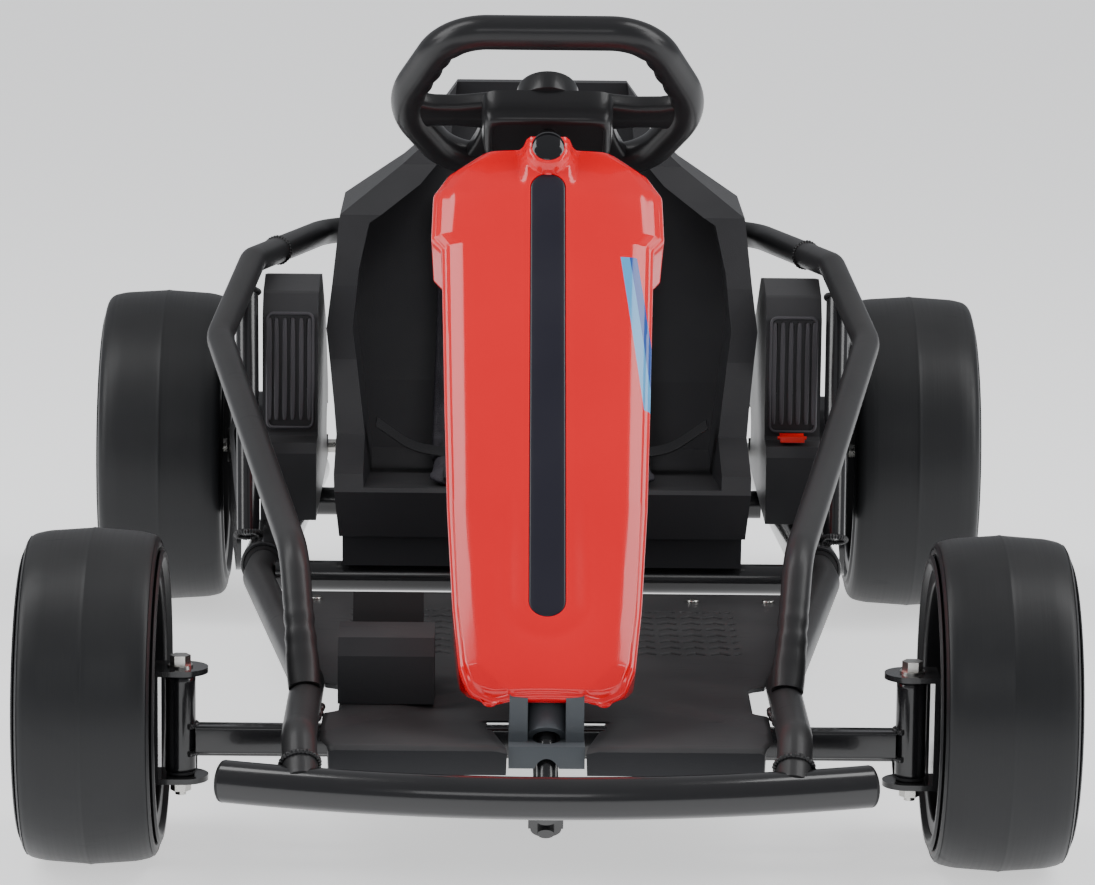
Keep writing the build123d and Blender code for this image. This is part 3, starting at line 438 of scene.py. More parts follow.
def sweep(name, path, outline, closed=False, capped=True, sharp=34.0, lift=None):
    """Carry an outline (stations or one, points, 2) along a path, its frame turning as little as possible;
    lift is the direction the outline's second axis leans to at the start."""
    path = np.asarray(path, dtype=float)
    count = len(path)
    steps = np.roll(path, -1, axis=0) - np.roll(path, 1, axis=0)
    if not closed:
        steps[0], steps[-1] = path[1] - path[0], path[-1] - path[-2]
    steps /= np.linalg.norm(steps, axis=1)[:, None]
    start = np.array(lift if lift is not None else (0.02, 0.05, 1.0))
    tops = []
    for step in steps:
        start = start - step * (start @ step)
        start = start / np.linalg.norm(start)
        tops.append(start)
    tops = np.array(tops)
    if closed:
        twist = np.arctan2(np.cross(tops[-1], tops[0]) @ steps[0], tops[-1] @ tops[0])
        share = (np.arange(count) / count * twist)[:, None]
        tops = tops * np.cos(share) + np.cross(steps, tops) * np.sin(share)
    sides = np.cross(tops, steps)
    outline = np.broadcast_to(outline, (count, *np.asarray(outline).shape[-2:]))
    grid = path[:, None] + outline[..., :1] * sides[:, None] + outline[..., 1:] * tops[:, None]
    return skin(name, grid, wrap_rows=closed, capped=capped, sharp=sharp)


def ring(radius, points=32):
    angle = np.linspace(0, 2 * pi, points, endpoint=False)
    return radius * np.stack([np.cos(angle), np.sin(angle)], axis=-1)


def bead(name, centre, axis, radius, thick=0.0021, onto=None, onto_radius=0.0, ripples=30):
    """A fillet weld: a rippled ring round a tube, drawn on to the surface of the other tube when onto
    gives that tube's (point, direction)."""
    axis = np.asarray(axis, dtype=float) / np.linalg.norm(axis)
    side = np.cross(axis, (0.3, 0.2, 1.0))
    side /= np.linalg.norm(side)
    other = np.cross(axis, side)
    turn = np.linspace(0, 2 * pi, 180, endpoint=False)[:, None]
    spot = np.asarray(centre) + radius * (np.cos(turn) * side + np.sin(turn) * other)
    if onto is not None:
        point, line = np.asarray(onto[0]), np.asarray(onto[1]) / np.linalg.norm(onto[1])
        gap = spot - point
        gap = gap - (gap @ line)[:, None] * line
        slope = axis - (axis @ line) * line
        a, b, c = slope @ slope, gap @ slope, (gap * gap).sum(axis=1) - onto_radius ** 2
        travel = (-b + np.sqrt(np.maximum(b * b - a * c, 0.0))) / a
        spot = spot + travel[:, None] * axis
    wobble = 1 + 0.14 * np.sin(ripples * turn) + 0.08 * np.sin(7 * turn + 1)
    profile = ring(thick, 10)[None] * np.repeat(wobble[:, :, None], 10, axis=1)
    return sweep(name, spot, profile, closed=True)


paint = Finish("powder_coat", (0.0085, 0.0085, 0.0095), 0.20, grain=520.0, bump=0.10, coat=0.35,
               patchy=0.10, dust=0.07)
preset(paint.shader, Specular_IOR_Level=0.45)
satin = Finish("powder_coat_satin", (0.020, 0.020, 0.021), 0.40, grain=700.0, bump=0.16, coat=0.05,
               patchy=0.12, dust=0.12)
weld = Finish("painted_weld", (0.010, 0.010, 0.011), 0.30, grain=1600.0, bump=0.9, coat=0.3,
              wear=0.2, dust=0.05)
plug_finish = Finish("plug_plastic", (0.016, 0.016, 0.017), 0.48, grain=1300.0, bump=0.2)
zinc = Finish("zinc_plate", (0.58, 0.57, 0.54), 0.28, grain=1900.0, bump=0.12, metal=1.0,
              patchy=0.2, wear=0.15, light=1.15)

BUMPER_HALF, BUMPER_RADIUS, BUMPER_HEIGHT, BOW_DEPTH = 0.225, 0.015, 0.084, 0.040
across_bow = np.linspace(-1, 1, 90)
nose_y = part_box("bumper")[0][1] + BUMPER_RADIUS
bow = np.stack([BUMPER_HALF * across_bow, nose_y + BOW_DEPTH * across_bow ** 2,
                BUMPER_HEIGHT + 0 * across_bow], axis=-1)
fit(sweep("bumper_tube", bow, ring(BUMPER_RADIUS, 40)), paint, "frame_paint", "chassis", "bumper")
plug_reach = np.array([-0.0002, 0.0004, 0.0007, 0.0018, 0.0026, 0.0030, 0.0031])
plug_radii = np.array([0.0150, 0.0151, 0.0149, 0.0146, 0.0134, 0.0100, 0.0020])
for name, side in SIDES:
    tip, step = bow[-1] * (side, 1, 1), (bow[-1] - bow[-2]) * (side, 1, 1)
    step = step / np.linalg.norm(step)
    plug = sweep(f"bumper_plug_{name}", tip + plug_reach[:, None] * step,
                 plug_radii[:, None, None] * ring(1.0, 40)[None])
    fit(plug, plug_finish, "moulded_black", "chassis")
    if side > 0:
        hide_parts("bumper_caps")

KINGPIN_X, BEAM_HEIGHT, BEAM_HALF = 0.262, 0.090, 0.010
beam_x = np.linspace(-0.2505, 0.2505, 60)
square = fillet_path([(-BEAM_HALF, -BEAM_HALF), (BEAM_HALF, -BEAM_HALF), (BEAM_HALF, BEAM_HALF),
                      (-BEAM_HALF, BEAM_HALF)], [0.0024] * 4, 6, True)
beam_path = np.stack([beam_x, BACK + 0 * beam_x, BEAM_HEIGHT + 0 * beam_x], axis=-1)
fit(sweep("beam_tube", beam_path, square), paint, "frame_paint", "chassis", "front_beam")
nylon = Finish("nylon", (0.03, 0.03, 0.032), 0.5, grain=900.0, bump=0.1)
sleeve_heights = np.array([0.066, 0.0663, 0.0670, 0.0700, 0.08, 0.09, 0.10, 0.11, 0.12,
                           0.1320, 0.1350, 0.1357, 0.136])
sleeve_radii = np.array([0.0098, 0.0106, *[0.0110] * 9, 0.0106, 0.0098])
seam_y = np.linspace(-0.0095, 0.0095, 40)
seam_ripple = 1 + 0.16 * np.sin(np.arange(40) * 1.9)
for name, side in SIDES:
    pin = np.array([side * KINGPIN_X, BACK, 0.0])
    sleeve = pin + np.stack([0 * sleeve_heights, 0 * sleeve_heights, sleeve_heights], axis=-1)
    fit(sweep(f"kingpin_sleeve_{name}", sleeve, sleeve_radii[:, None, None] * ring(1.0, 40)[None],
              lift=(0, 1, 0)), paint, "frame_paint", "chassis")
    for k, height in enumerate((BEAM_HEIGHT - BEAM_HALF, BEAM_HEIGHT + BEAM_HALF)):
        seam = np.stack([side * (KINGPIN_X - np.sqrt(0.0114 ** 2 - seam_y ** 2)), BACK + seam_y,
                         height + 0 * seam_y], axis=-1)
        fit(sweep(f"beam_weld_{name}_{k}", seam, 0.0020 * seam_ripple[:, None, None] * ring(1.0, 10)[None]),
            weld, "frame_paint", "chassis")
dress(paint, "knuckle_left", "knuckle_right", "track_rod", soften=0.0007)
dress(zinc, "knuckle_fasteners_left", "knuckle_fasteners_right", "body_screws", "rear_axle",
      "pedal_spring", soften=0.0004)
dress(nylon, "nylon_bushes", "gearboxes", "drive_gear_left", "drive_gear_right", soften=0.0003)

# ---- Side frames ----
# The front rails run off the bumper over the beam, then outwards into the larger rear rails, each mouth
# closed by a plastic sleeve. A bar rises from each rail to the widest point and meets the hoop.

RAIL = [(171, -118, 88), (174, -82, 112.5), (174, 80, 112.5), (228, 440, 112.5), (222.8, 545, 112.5)]
REAR_RAIL = [(225.68, 487, 112.5), (205, 905, 112.5)]
BAR = [(174, 26, 117), (185, 100, 206), (262, 500, 298), (242, 640, 340), (224, 702.4, 339.4)]
HOOP = [(224, 702.4, 339.4), (182, 848, 338)]
POST = [(239.6, 516, 132), (245.3, 609, 319)]
BAR_RADIUS, POST_RADIUS = 0.0110, 0.0095

for name, side in SIDES:
    flip = np.array([side, 1, 1])
    rail = spaced(fillet_path(row(RAIL) * flip, [0.028, 0.09, 0.09], 14), 0.006)
    fit(sweep(f"front_rail_{name}", rail, ring(0.0125, 36)), satin, "frame_paint", "chassis",
        f"lower_rail_{name}")
    fit(bead(f"rail_foot_weld_{name}", rail[3], rail[4] - rail[2], 0.0133, 0.0019), weld,
        "frame_paint", "chassis")
    ends = row(REAR_RAIL) * flip
    length = np.linalg.norm(ends[1] - ends[0])
    step = (ends[1] - ends[0]) / length
    reach = np.array([0.030, 0.004, 0.001, 0.0002, 0.0, 0.0003, 0.0012, 0.01,
                      *np.linspace(0.03, length - 0.002, 50), length])
    wide = np.array([0.0160, 0.0160, 0.0161, 0.0166, 0.0175, 0.0186, 0.0190, 0.0190, *[0.0190] * 50, 0.0184])
    disc = ring(1.0, 44)
    around = disc[:, :1] * np.cross(step, (0, 0, 1)) + disc[:, 1:] * np.array([0, 0, 1.0])
    grid = ends[0] + reach[:, None, None] * step + wide[:, None, None] * around
    fit(skin(f"rear_rail_tube_{name}", grid), paint, "frame_paint", "chassis", f"rear_rail_{name}")
    bar = spaced(fillet_path(row(BAR) * flip, [0.055, 0.070, 0.032], 16), 0.005)
    travel = np.concatenate([[0], np.cumsum(np.linalg.norm(np.diff(bar, axis=0), axis=1))])
    pinch = np.exp(-((travel - 0.020) / 0.022) ** 2)
    crease = 0.0006 * np.exp(-((travel - 0.052) / 0.02) ** 2) * np.sin(travel * 900)
    wide = np.stack([BAR_RADIUS * (1 + 0.10 * pinch) + crease, BAR_RADIUS * (1 - 0.14 * pinch) + crease],
                    axis=-1)
    shape = ring(1.0, 40)[None] * wide[:, None, :]
    fit(sweep(f"side_tube_{name}", bar[1:], shape[1:], lift=(0, -1, 0.6)), satin, "frame_paint",
        "chassis", f"side_bar_{name}")
    fit(bead(f"bar_foot_weld_{name}", bar[2], bar[0] - bar[2], 0.0112, 0.0026,
             onto=(row(RAIL)[1] * flip, (0, 1, 0)), onto_radius=0.0128, ripples=22),
        weld, "frame_paint", "chassis")
    foot, head = row(POST) * flip
    lean = (head - foot) / np.linalg.norm(head - foot)
    post = foot + np.linspace(0, 1, 24)[:, None] * (head - foot)
    fit(sweep(f"post_tube_{name}", post, ring(POST_RADIUS, 32)), paint, "frame_paint", "chassis",
        *(["hoop_posts"] if side > 0 else []))
    fit(bead(f"post_foot_weld_{name}", foot, lean, 0.0098, 0.0022), weld, "frame_paint", "chassis")
    fit(bead(f"post_head_weld_{name}", head - 0.001 * lean, lean, 0.0098, 0.0020), weld,
        "frame_paint", "chassis")

half_hoop = row(HOOP)
hoop = spaced(fillet_path([*half_hoop, *(half_hoop[::-1] * (-1, 1, 1))], [0.06, 0.06], 18), 0.006)
fit(sweep("hoop_tube", hoop, ring(BAR_RADIUS, 36)), satin, "frame_paint", "chassis", "rear_hoop")
for name, side in SIDES:
    spot = half_hoop[0] * (side, 1, 1)
    fit(bead(f"hoop_weld_{name}", spot, (half_hoop[1] - half_hoop[0]) * (side, 1, 1), 0.0111, 0.0016),
        weld, "frame_paint", "chassis")
dress(paint, "seat_crossbars", "axle_plate_left", "axle_plate_right", soften=0.0008)
dress(plug_finish, "rail_sleeves", soften=0.0004)
motor_finish = Finish("motor_steel", (0.16, 0.16, 0.165), 0.35, grain=1500.0, bump=0.15, metal=0.9,
                      patchy=0.2)
dress(motor_finish, "drive_motors", "motor_pinion_left", "motor_pinion_right", soften=0.0004)

# ---- Floor pan and steering support ----
# Vacuum-formed tray in two halves round an open bay for the steering: a pressed lip in front, a shallow
# crease on each side, and a heel pad of engraved arrowheads. A grey moulded bracket stands in the bay.

pan_finish = Finish("pan_plastic", (0.019, 0.0195, 0.022), 0.43, grain=1100.0, bump=0.30, patchy=0.12,
                    dust=0.22)
PAN_FRONT, PAN_BACK, BAY_BACK = -62, 425, 12
HEEL_FROM, HEEL_TO = 207, 362
ARROW_COLUMN, ARROW_PITCH, GROOVE_DEPTH = 18.5, 21, 1.9
y_rows = np.concatenate([np.linspace(PAN_FRONT, -50, 5), np.linspace(-46, 10, 18), [BAY_BACK, 12.6, 14],
                         np.linspace(18, 200, 38), np.linspace(203, 367, 96),
                         np.linspace(372, PAN_BACK, 12)])[:, None]
wide = np.interp(y_rows, [PAN_FRONT, -40, 24, 30, 104, 112, 412, PAN_BACK],
                 [154, 161, 161, 150, 150, 163.5, 208, 208])
bay = np.interp(y_rows, [PAN_FRONT, BAY_BACK, 12.6], [28, 43, 0.0])
share = np.concatenate([[0.0, 0.004], np.linspace(0.02, 0.97, 118), [0.99, 1.0]])[None, :]
pan_x = bay + share * (wide - bay)
top = np.interp(y_rows, [PAN_FRONT, 90, PAN_BACK], [103, 105, 105]) + 0 * pan_x
top -= 2.6 * np.clip(((95 - y_rows) / 85 - (pan_x - 50) / 95) * 5, 0, 1) * (y_rows < 95)
top -= 1.6 * np.exp(-((pan_x - bay) / 5) ** 2) * (y_rows < BAY_BACK)
top -= 1.5 * np.exp(-((wide - pan_x) / 1.6) ** 2)
top -= 3.0 * np.clip((-56 - y_rows) / 6, 0, 1) ** 2
column_x = np.abs((pan_x - 50.75) % ARROW_COLUMN - ARROW_COLUMN / 2)
arrow = (y_rows - 212 + 0.75 * column_x) % ARROW_PITCH
groove = (np.clip(1 - np.abs(arrow - 5) / 3.4, 0, 1) * np.clip((7.6 - column_x) / 1.2, 0, 1) *
          np.clip((150 - pan_x) / 2, 0, 1) * np.clip((pan_x - 52) / 2, 0, 1) *
          np.clip((y_rows - HEEL_FROM) / 3, 0, 1) * np.clip((HEEL_TO - y_rows) / 3, 0, 1))
top -= GROOVE_DEPTH * np.clip(groove * 2, 0, 1)
lowest = np.where(y_rows < -57, 80.0, np.interp(y_rows, [PAN_FRONT, 90, PAN_BACK], [99.0, 101, 101]) - 0.2)
back_share = np.linspace(1, 0, 26)[None, :]
under_x = bay + back_share * (wide - bay) + np.linspace(-0.6, 0.6, 26)[None, :]
section = np.concatenate([np.stack([pan_x, y_rows + 0 * pan_x, top], -1),
                          np.stack([under_x, y_rows + 0 * under_x, lowest + 0 * under_x], -1)], axis=1)
pan_axes = pan_finish.add("ShaderNodeSeparateXYZ")
pan_finish.link(pan_finish.add("ShaderNodeTexCoord").outputs["Object"], pan_axes.inputs["Vector"])
# Painted shade: the pan colour turns near black where the surface sinks into the heel pad's grooves,
# standing in for the shade in those recesses.
sunk = pan_finish.ramp(pan_axes.outputs["Z"], 0.1047, 0.1036)
behind = pan_finish.maths("GREATER_THAN", pan_axes.outputs["Y"], float(BACK + 0.204))
before = pan_finish.maths("LESS_THAN", pan_axes.outputs["Y"], float(BACK + 0.366))
painted_groove_shade = pan_finish.maths("MULTIPLY", sunk, pan_finish.maths("MULTIPLY", behind, before))
pan_finish.repaint(pan_finish.blend(painted_groove_shade, pan_finish.colour, (0.002, 0.002, 0.002)))
for name, side in SIDES:
    half_pan = skin(f"pan_{name}", row(section * (side, 1, 1)), sharp=28)
    fit(half_pan, pan_finish, "moulded_black", "chassis", *(["floor_pan"] if side > 0 else []))
slate = Finish("slate_plastic", (0.085, 0.095, 0.105), 0.42, grain=1000.0, bump=0.2, dust=0.1)
dress(slate, "steering_support", soften=0.0012)

# ---- Nose cover ----
# Glossy red injection-moulded shell, its edges turned back all round, with side wings near the top, a
# shallow scoop round the foot of the dark centre strip, a capped arch at the head and a printed slash.

LEAN = radians(45)
HOOD_FOOT = row((0, -50, 137))
HOOD_HALF = [(40, 0), (56, 8), (63, 26), (68, 78), (73, 165), (76, 255), (80, 398), (88, 408), (87, 452),
             (76, 474), (53, 493)]
HOOD_BENDS = [22, 16, 30, 120, 400, 200, 6, 6, 14, 18, 9]
CROWN, SHOULDER_FALL, HEAD_FALL, WING_FALL, SCOOP, FOOT_FALL = 4.0, 5.0, 8.0, 3.0, 2.0, 4.0
ARCH_Y, ARCH_RISE, ARCH_REACH = 482, 9.0, 19
STRIP_LOW, STRIP_HIGH, STRIP_EDGE, STRIP_SUNK = 77.5, 448.5, 13.4, 1.6


def on_hood(points):
    """Hood frame (across, up the face, out of the face), in millimetres, to the row frame in metres."""
    points = np.asarray(points, dtype=float) / 1000
    return HOOD_FOOT + np.stack([points[..., 0], points[..., 1] * sin(LEAN) - points[..., 2] * cos(LEAN),
                                 points[..., 1] * cos(LEAN) + points[..., 2] * sin(LEAN)], axis=-1)


def relief(x, y, distance):
    """Height of the face: a slight crown, facets that fall away near the head, and the scoop."""
    half_width = np.interp(y, [0, 26, 165, 398, 408, 452, 474, 493], [40, 63, 73, 80, 88, 87, 76, 53])
    height = -CROWN * (np.abs(x) / half_width) ** 2
    height = height - np.clip((np.abs(x) - (half_width - 15)) / 15, 0, 1) * SHOULDER_FALL
    height = height - np.clip((y - 445) / 48, 0, 1) * HEAD_FALL * np.clip((np.abs(x) - 16) / 6, 0, 1)
    height = height - np.clip((np.abs(x) - 46) / 30, 0, 1) * WING_FALL * np.clip((y - 400) / 60, 0, 1)
    height = height - SCOOP * np.exp(-((distance - 29) / 8.0) ** 2) * np.clip((210 - y) / 90, 0, 1)
    return height - np.clip((24 - y) / 24, 0, 1) ** 2 * FOOT_FALL


def arch(x, y):
    """The raised arch at the head of the face."""
    reach = np.hypot(x, np.minimum(y - ARCH_Y, 0) * 0.9)
    return ARCH_RISE * np.clip((ARCH_REACH - reach) / 4.5, 0, 1) ** 0.7


corners = [(x, y, 0) for x, y in HOOD_HALF] + [(-x, y, 0) for x, y in reversed(HOOD_HALF)]
edge = spaced(fillet_path(corners, HOOD_BENDS + HOOD_BENDS[::-1], 8, closed=True), 3.0, closed=True)
spine = np.stack([0 * edge[:, 0], np.clip(edge[:, 1], STRIP_LOW, STRIP_HIGH), 0 * edge[:, 0]], axis=-1)
away = edge - spine
length = np.linalg.norm(away, axis=1)
away = away / length[:, None]
inside = np.array([0.0, 6.0, 11.0, 13.2, 13.5, 13.9])
face = np.concatenate([np.linspace(0.03, 0.80, 22), np.linspace(0.83, 0.93, 6)])
wall_depth = np.minimum(np.where(edge[:, 1] > 486, 47.0, 66.0), edge[:, 1] + 15.0)
shell = []
for distance in inside:
    reach = np.minimum(distance, length * 0.9)
    spot = spine + away * reach[:, None]
    depth = relief(spot[:, 0], spot[:, 1], reach) + arch(spot[:, 0], spot[:, 1])
    spot[:, 2] = depth - np.where((distance < STRIP_EDGE) & (spot[:, 1] < 463), STRIP_SUNK, 0.0)
    shell.append(spot)
for part in face:
    reach = inside[-1] + part * np.maximum(length - inside[-1] - 1.0, 0.5)
    reach = np.minimum(reach, length - 0.5 + 0.4 * part)
    spot = spine + away * reach[:, None]
    spot[:, 2] = relief(spot[:, 0], spot[:, 1], reach) + arch(spot[:, 0], spot[:, 1])
    shell.append(spot)
brow = relief(edge[:, 0] * 0.985, edge[:, 1], length) + 0.8 * arch(edge[:, 0], edge[:, 1])
for turn in np.linspace(0.15, 1, 7) * pi / 2:
    spot = spine + away * (length - 5.5 + 5.5 * sin(turn))[:, None]
    spot[:, 2] = brow - 1.0 - 5.0 * (1 - cos(turn))
    shell.append(spot)
for part in (0.12, 0.3, 0.5, 0.7, 0.85, 0.96, 1.0):
    spot = edge - away * 1.2 * part
    spot[:, 2] = (brow - 6.0) * (1 - part) - wall_depth * part
    shell.append(spot)

SLASH_LOW, SLASH_HIGH = 0.250, 0.385
red = Finish("hood_gloss_red", (0.86, 0.0015, 0.010), 0.18, grain=90.0, bump=0.03, coat=0.6, patchy=0.05,
             wear=0.05, light=1.12)
hood_axes = red.add("ShaderNodeSeparateXYZ")
red.link(red.add("ShaderNodeTexCoord").outputs["Object"], hood_axes.inputs["Vector"])
rise = red.maths("MULTIPLY", red.maths("ADD", hood_axes.outputs["Y"], hood_axes.outputs["Z"]), sin(LEAN))
rise = red.maths("SUBTRACT", rise, float((HOOD_FOOT[1] + HOOD_FOOT[2]) * sin(LEAN)))
drop = red.ramp(rise, SLASH_HIGH, SLASH_LOW - 0.005)
slash_from = red.maths("MULTIPLY_ADD", drop, 0.017, 0.0545)
slash_width = red.maths("MULTIPLY_ADD", drop, 0.002, 0.0125)
offset = red.maths("SUBTRACT", hood_axes.outputs["X"], slash_from)
within = red.maths("MULTIPLY", red.maths("GREATER_THAN", offset, 0.0),
                   red.maths("LESS_THAN", offset, slash_width))
along_slash = red.maths("MULTIPLY", red.maths("LESS_THAN", rise, SLASH_HIGH),
                        red.maths("GREATER_THAN", rise, SLASH_LOW))
outward = red.maths("GREATER_THAN", hood_axes.outputs["Z"], 0.1)
slash = red.maths("MULTIPLY", red.maths("MULTIPLY", within, along_slash), outward)
pale = red.maths("LESS_THAN", offset, red.maths("MULTIPLY", slash_width, 0.55))
blue = red.blend(pale, (0.02, 0.09, 0.42), (0.10, 0.42, 0.80))
red.repaint(red.blend(slash, red.colour, blue))
cover = skin("nose_cover", on_hood(np.array(shell)), capped=False, sharp=50)
wall = cover.modifiers.new("wall", "SOLIDIFY")
wall.thickness, wall.offset = 0.0030, -1.0
fit(cover, red, "hood_red", "chassis", "hood")

night = Finish("strip_film", (0.010, 0.0095, 0.018), 0.30, grain=800.0, bump=0.12, coat=0.2, dust=0.05)
strip = []
for distance, depth in ((0, -0.25), (7, -0.25), (11.8, -0.25), (12.7, -0.45), (13.1, -0.85), (13.1, -1.45),
                        (7, -1.5), (0, -1.5)):
    spot = spine + away * distance
    spot[:, 2] = relief(spot[:, 0], spot[:, 1], distance) + depth
    strip.append(spot)
fit(skin("centre_strip", on_hood(np.array(strip)), capped=False), night, "stripe_dark", "chassis",
    "hood_stripe")
dome = []
turn = np.linspace(0, 2 * pi, 60, endpoint=False)
for reach, height in ((0, 10.4), (0.5, 10.3), (0.8, 9.8), (0.94, 9.0), (1.0, 8.0), (1.0, 6.3), (0, 6.3)):
    dome.append(np.stack([13.0 * reach * np.cos(turn), 481 + 14.5 * reach * np.sin(turn),
                          height + 0 * turn], axis=-1))
gloss = Finish("gloss_black", (0.006, 0.006, 0.007), 0.10, grain=500.0, bump=0.02, coat=0.6)
fit(skin("arch_cap", on_hood(np.array(dome)), capped=False), gloss, "stripe_dark", "chassis")

# ---- Steering ----
# Steel column with a crank at its foot; a flattened oval grip moulded round it in two halves, a cross
# bar, two lower struts, a raised box of electronics on the front and a push button for the driver.

HUB = row((0, 375, 510))


def on_wheel(points):
    """Wheel frame (driver's left, up the wheel, along the column) in millimetres to the row frame."""
    points = np.asarray(points, dtype=float) / 1000
    return HUB + np.stack([points[..., 0], -points[..., 1] * cos(LEAN) + points[..., 2] * sin(LEAN),
                           points[..., 1] * sin(LEAN) + points[..., 2] * cos(LEAN)], axis=-1)


def squircle(half_x, half_y, power=4.0, points=64):
    """Rounded rectangle: |x/a|^n + |y/b|^n = 1."""
    turn = np.linspace(0, 2 * pi, points, endpoint=False)
    c, s = np.cos(turn), np.sin(turn)
    return np.stack([half_x * np.sign(c) * np.abs(c) ** (2 / power),
                     half_y * np.sign(s) * np.abs(s) ** (2 / power)], axis=-1)


def loft(name, stations, place, power=5.0, points=72, sharp=40.0):
    """Stack rounded rectangles: each station is (centre x, centre y, height, half x, half y)."""
    grid = [np.concatenate([squircle(a, b, power, points) + (x, y), np.full((points, 1), z)], axis=1)
            for x, y, z, a, b in stations]
    return skin(name, place(np.array(grid)), sharp=sharp)


grip_finish = Finish("grip_plastic", (0.012, 0.012, 0.013), 0.30, grain=1300.0, bump=0.14, coat=0.12,
                     dust=0.05)
GRIP_HALF_X, GRIP_HALF_Y, GRIP_RADIUS = 109, 79, 13.4
oval = [(GRIP_HALF_X * x, GRIP_HALF_Y * y, 0)
        for x, y in ((0.70, 1), (-0.70, 1), (-1.06, -0.12), (-0.70, -1), (0.70, -1), (1.06, -0.12))]
rim_path = spaced(fillet_path(oval, [46, 46, 60, 46, 46, 60], 24, closed=True), 3.5, closed=True)
around = np.linspace(0, 2 * pi, 40, endpoint=False)[None, :]
spot_x, spot_y = rim_path[:, :1], rim_path[:, 1:2]
fingers = (0.055 * np.sin(spot_y / 2.6) * np.clip((np.abs(spot_x) - 55) / 12, 0, 1) *
           np.clip((spot_y - 8) / 10, 0, 1) * np.clip((74 - spot_y) / 10, 0, 1))
seam = 0.035 * sum(np.exp(-((around - at) / 0.06) ** 2) for at in (1.5 * pi - 0.55, pi / 2))
swell = GRIP_RADIUS * (1 + fingers * np.clip(-np.cos(around), 0, 1) - seam)
sections = np.stack([swell * np.cos(around), swell * np.sin(around)], axis=-1) / 1000
grip = sweep("grip_rim", on_wheel(rim_path), sections, closed=True, lift=(0, sin(LEAN), cos(LEAN)))
fit(grip, grip_finish, "grip_black", "steering", "steering_wheel")
bar_x = np.array([-105, -99, -88, -70, -54, -40, 0, 40, 54, 70, 88, 99, 105])
bar_half = np.array([19, 16, 13, 12.5, 15, 18, 19, 18, 15, 12.5, 13, 16, 19])
bar_ring = squircle(1, 1, 4, 56)
cross = [np.stack([np.full(56, x), -16 + half * bar_ring[:, 0], -1 + 8.5 * bar_ring[:, 1]], axis=-1)
         for x, half in zip(bar_x, bar_half)]
fit(skin("grip_cross_bar", on_wheel(np.array(cross))), grip_finish, "grip_black", "steering")
strut_ring = squircle(1, 1, 4, 40)
for name, side in SIDES:
    strut = [np.stack([side * (40 + 18 * t) + (8.5 + 3 * (2 * t - 1) ** 2) * strut_ring[:, 0],
                       np.full(40, -28 - 48 * t), -1 + 6.5 * strut_ring[:, 1]], axis=-1)
             for t in np.linspace(0, 1, 9)]
    fit(skin(f"grip_strut_{name}", on_wheel(np.array(strut))), grip_finish, "grip_black", "steering")
box_steps = ((-9, 51, 28), (-24, 50.5, 27.6), (-33, 49, 26.5), (-36.5, 47.5, 25), (-37.8, 45, 22.5),
             (-37.9, 43.5, 21), (-36.6, 42.8, 20.3), (-36.5, 20, 10))
module = loft("wheel_box", [(0, -8, *step) for step in box_steps], on_wheel, 7.0)
fit(module, grip_finish, "grip_black", "steering", "wheel_module")
boss_steps = ((-9.5, 23), (-9, 24), (5, 24), (7.6, 23), (7.8, 20))
boss = loft("wheel_boss", [(0, 0, height, half, half) for height, half in boss_steps], on_wheel, 2.0)
fit(boss, grip_finish, "grip_black", "steering")
button_red = Finish("button_red", (0.62, 0.008, 0.006), 0.22, grain=700.0, bump=0.05, coat=0.4)
dress(button_red, "horn_button", "belt_release", "power_switch", soften=0.0006)
dress(paint, "steering_column", soften=0.0005)

# ---- Pedal ----
# Moulded switch box with a rounded top; the ribbed foot plate turns on a pin in two ears behind it.

dress(plug_finish, "accelerator_pedal", soften=0.0012)
dress(pan_finish, "pedal_housing", soften=0.0030)
step_finish = Finish("tread_rubber", (0.010, 0.010, 0.011), 0.6, grain=1400.0, bump=0.4, dust=0.1)
PEDAL_X, PLATE_FOOT, PLATE_TALL = -116, 110, 62
RIB_STEPS = ((0, 22, 1.2), (0.7, 22, 1.2), (1.3, 21.4, 0.7))


def upright(points):
    """Across, up and back in millimetres, to the row frame in metres."""
    return row(points[..., [0, 2, 1]])


for k, height in enumerate(np.linspace(134, 164, 6)):
    back = 124.3 + 18 * ((height - PLATE_FOOT) / PLATE_TALL - 0.32)
    stations = [(PEDAL_X, height, back + rise, *half) for rise, *half in RIB_STEPS]
    rib = loft(f"pedal_rib_{k}", stations, upright, 6.0, 40)
    fit(rib, step_finish, "moulded_black", "pedal")

# ---- Seat ----
# Blow-moulded bucket on a hollow plinth; an upholstered panel with piping down each edge; a lap belt of
# black webbing with a press-button buckle.

seat_finish = Finish("seat_plastic", (0.0135, 0.0135, 0.0155), 0.41, grain=1200.0, bump=0.34,
                     patchy=0.10, dust=0.12)
dress(seat_finish, "seat_shell", soften=0.0060)
dress(pan_finish, "seat_base", soften=0.0030)
case_finish = Finish("battery_case", (0.03, 0.03, 0.034), 0.5, grain=900.0, bump=0.3, dust=0.15)
dress(case_finish, "battery", soften=0.0015)
alloy = Finish("alloy", (0.50, 0.51, 0.53), 0.34, grain=1500.0, bump=0.15, metal=1.0, patchy=0.15)
dress(alloy, "control_box", soften=0.0008)
leather = Finish("leatherette", (0.026, 0.024, 0.031), 0.50, grain=700.0, bump=0.05, patchy=0.10, dust=0.10)
pebble = leather.add("ShaderNodeTexVoronoi")
pebble.feature = "DISTANCE_TO_EDGE"
preset(pebble, Scale=620.0)
leather.link(leather.add("ShaderNodeTexCoord").outputs["Object"], pebble.inputs["Vector"])
leather.emboss(leather.maths("MULTIPLY", leather.ramp(pebble.outputs["Distance"], 0.0, 0.22), 0.9))
PAD_TOP = [(447, 189.6), (470, 192.0), (598, 180.6), (640, 188), (662, 212), (676, 238), (730, 314),
           (780, 385)]
PAD_HALF, PAD_THIN = 93, 3.4
VOXEL, PRESSURE, FRAMES, MOST_SWELL = 0.0026, 4.0, 20, 0.0035
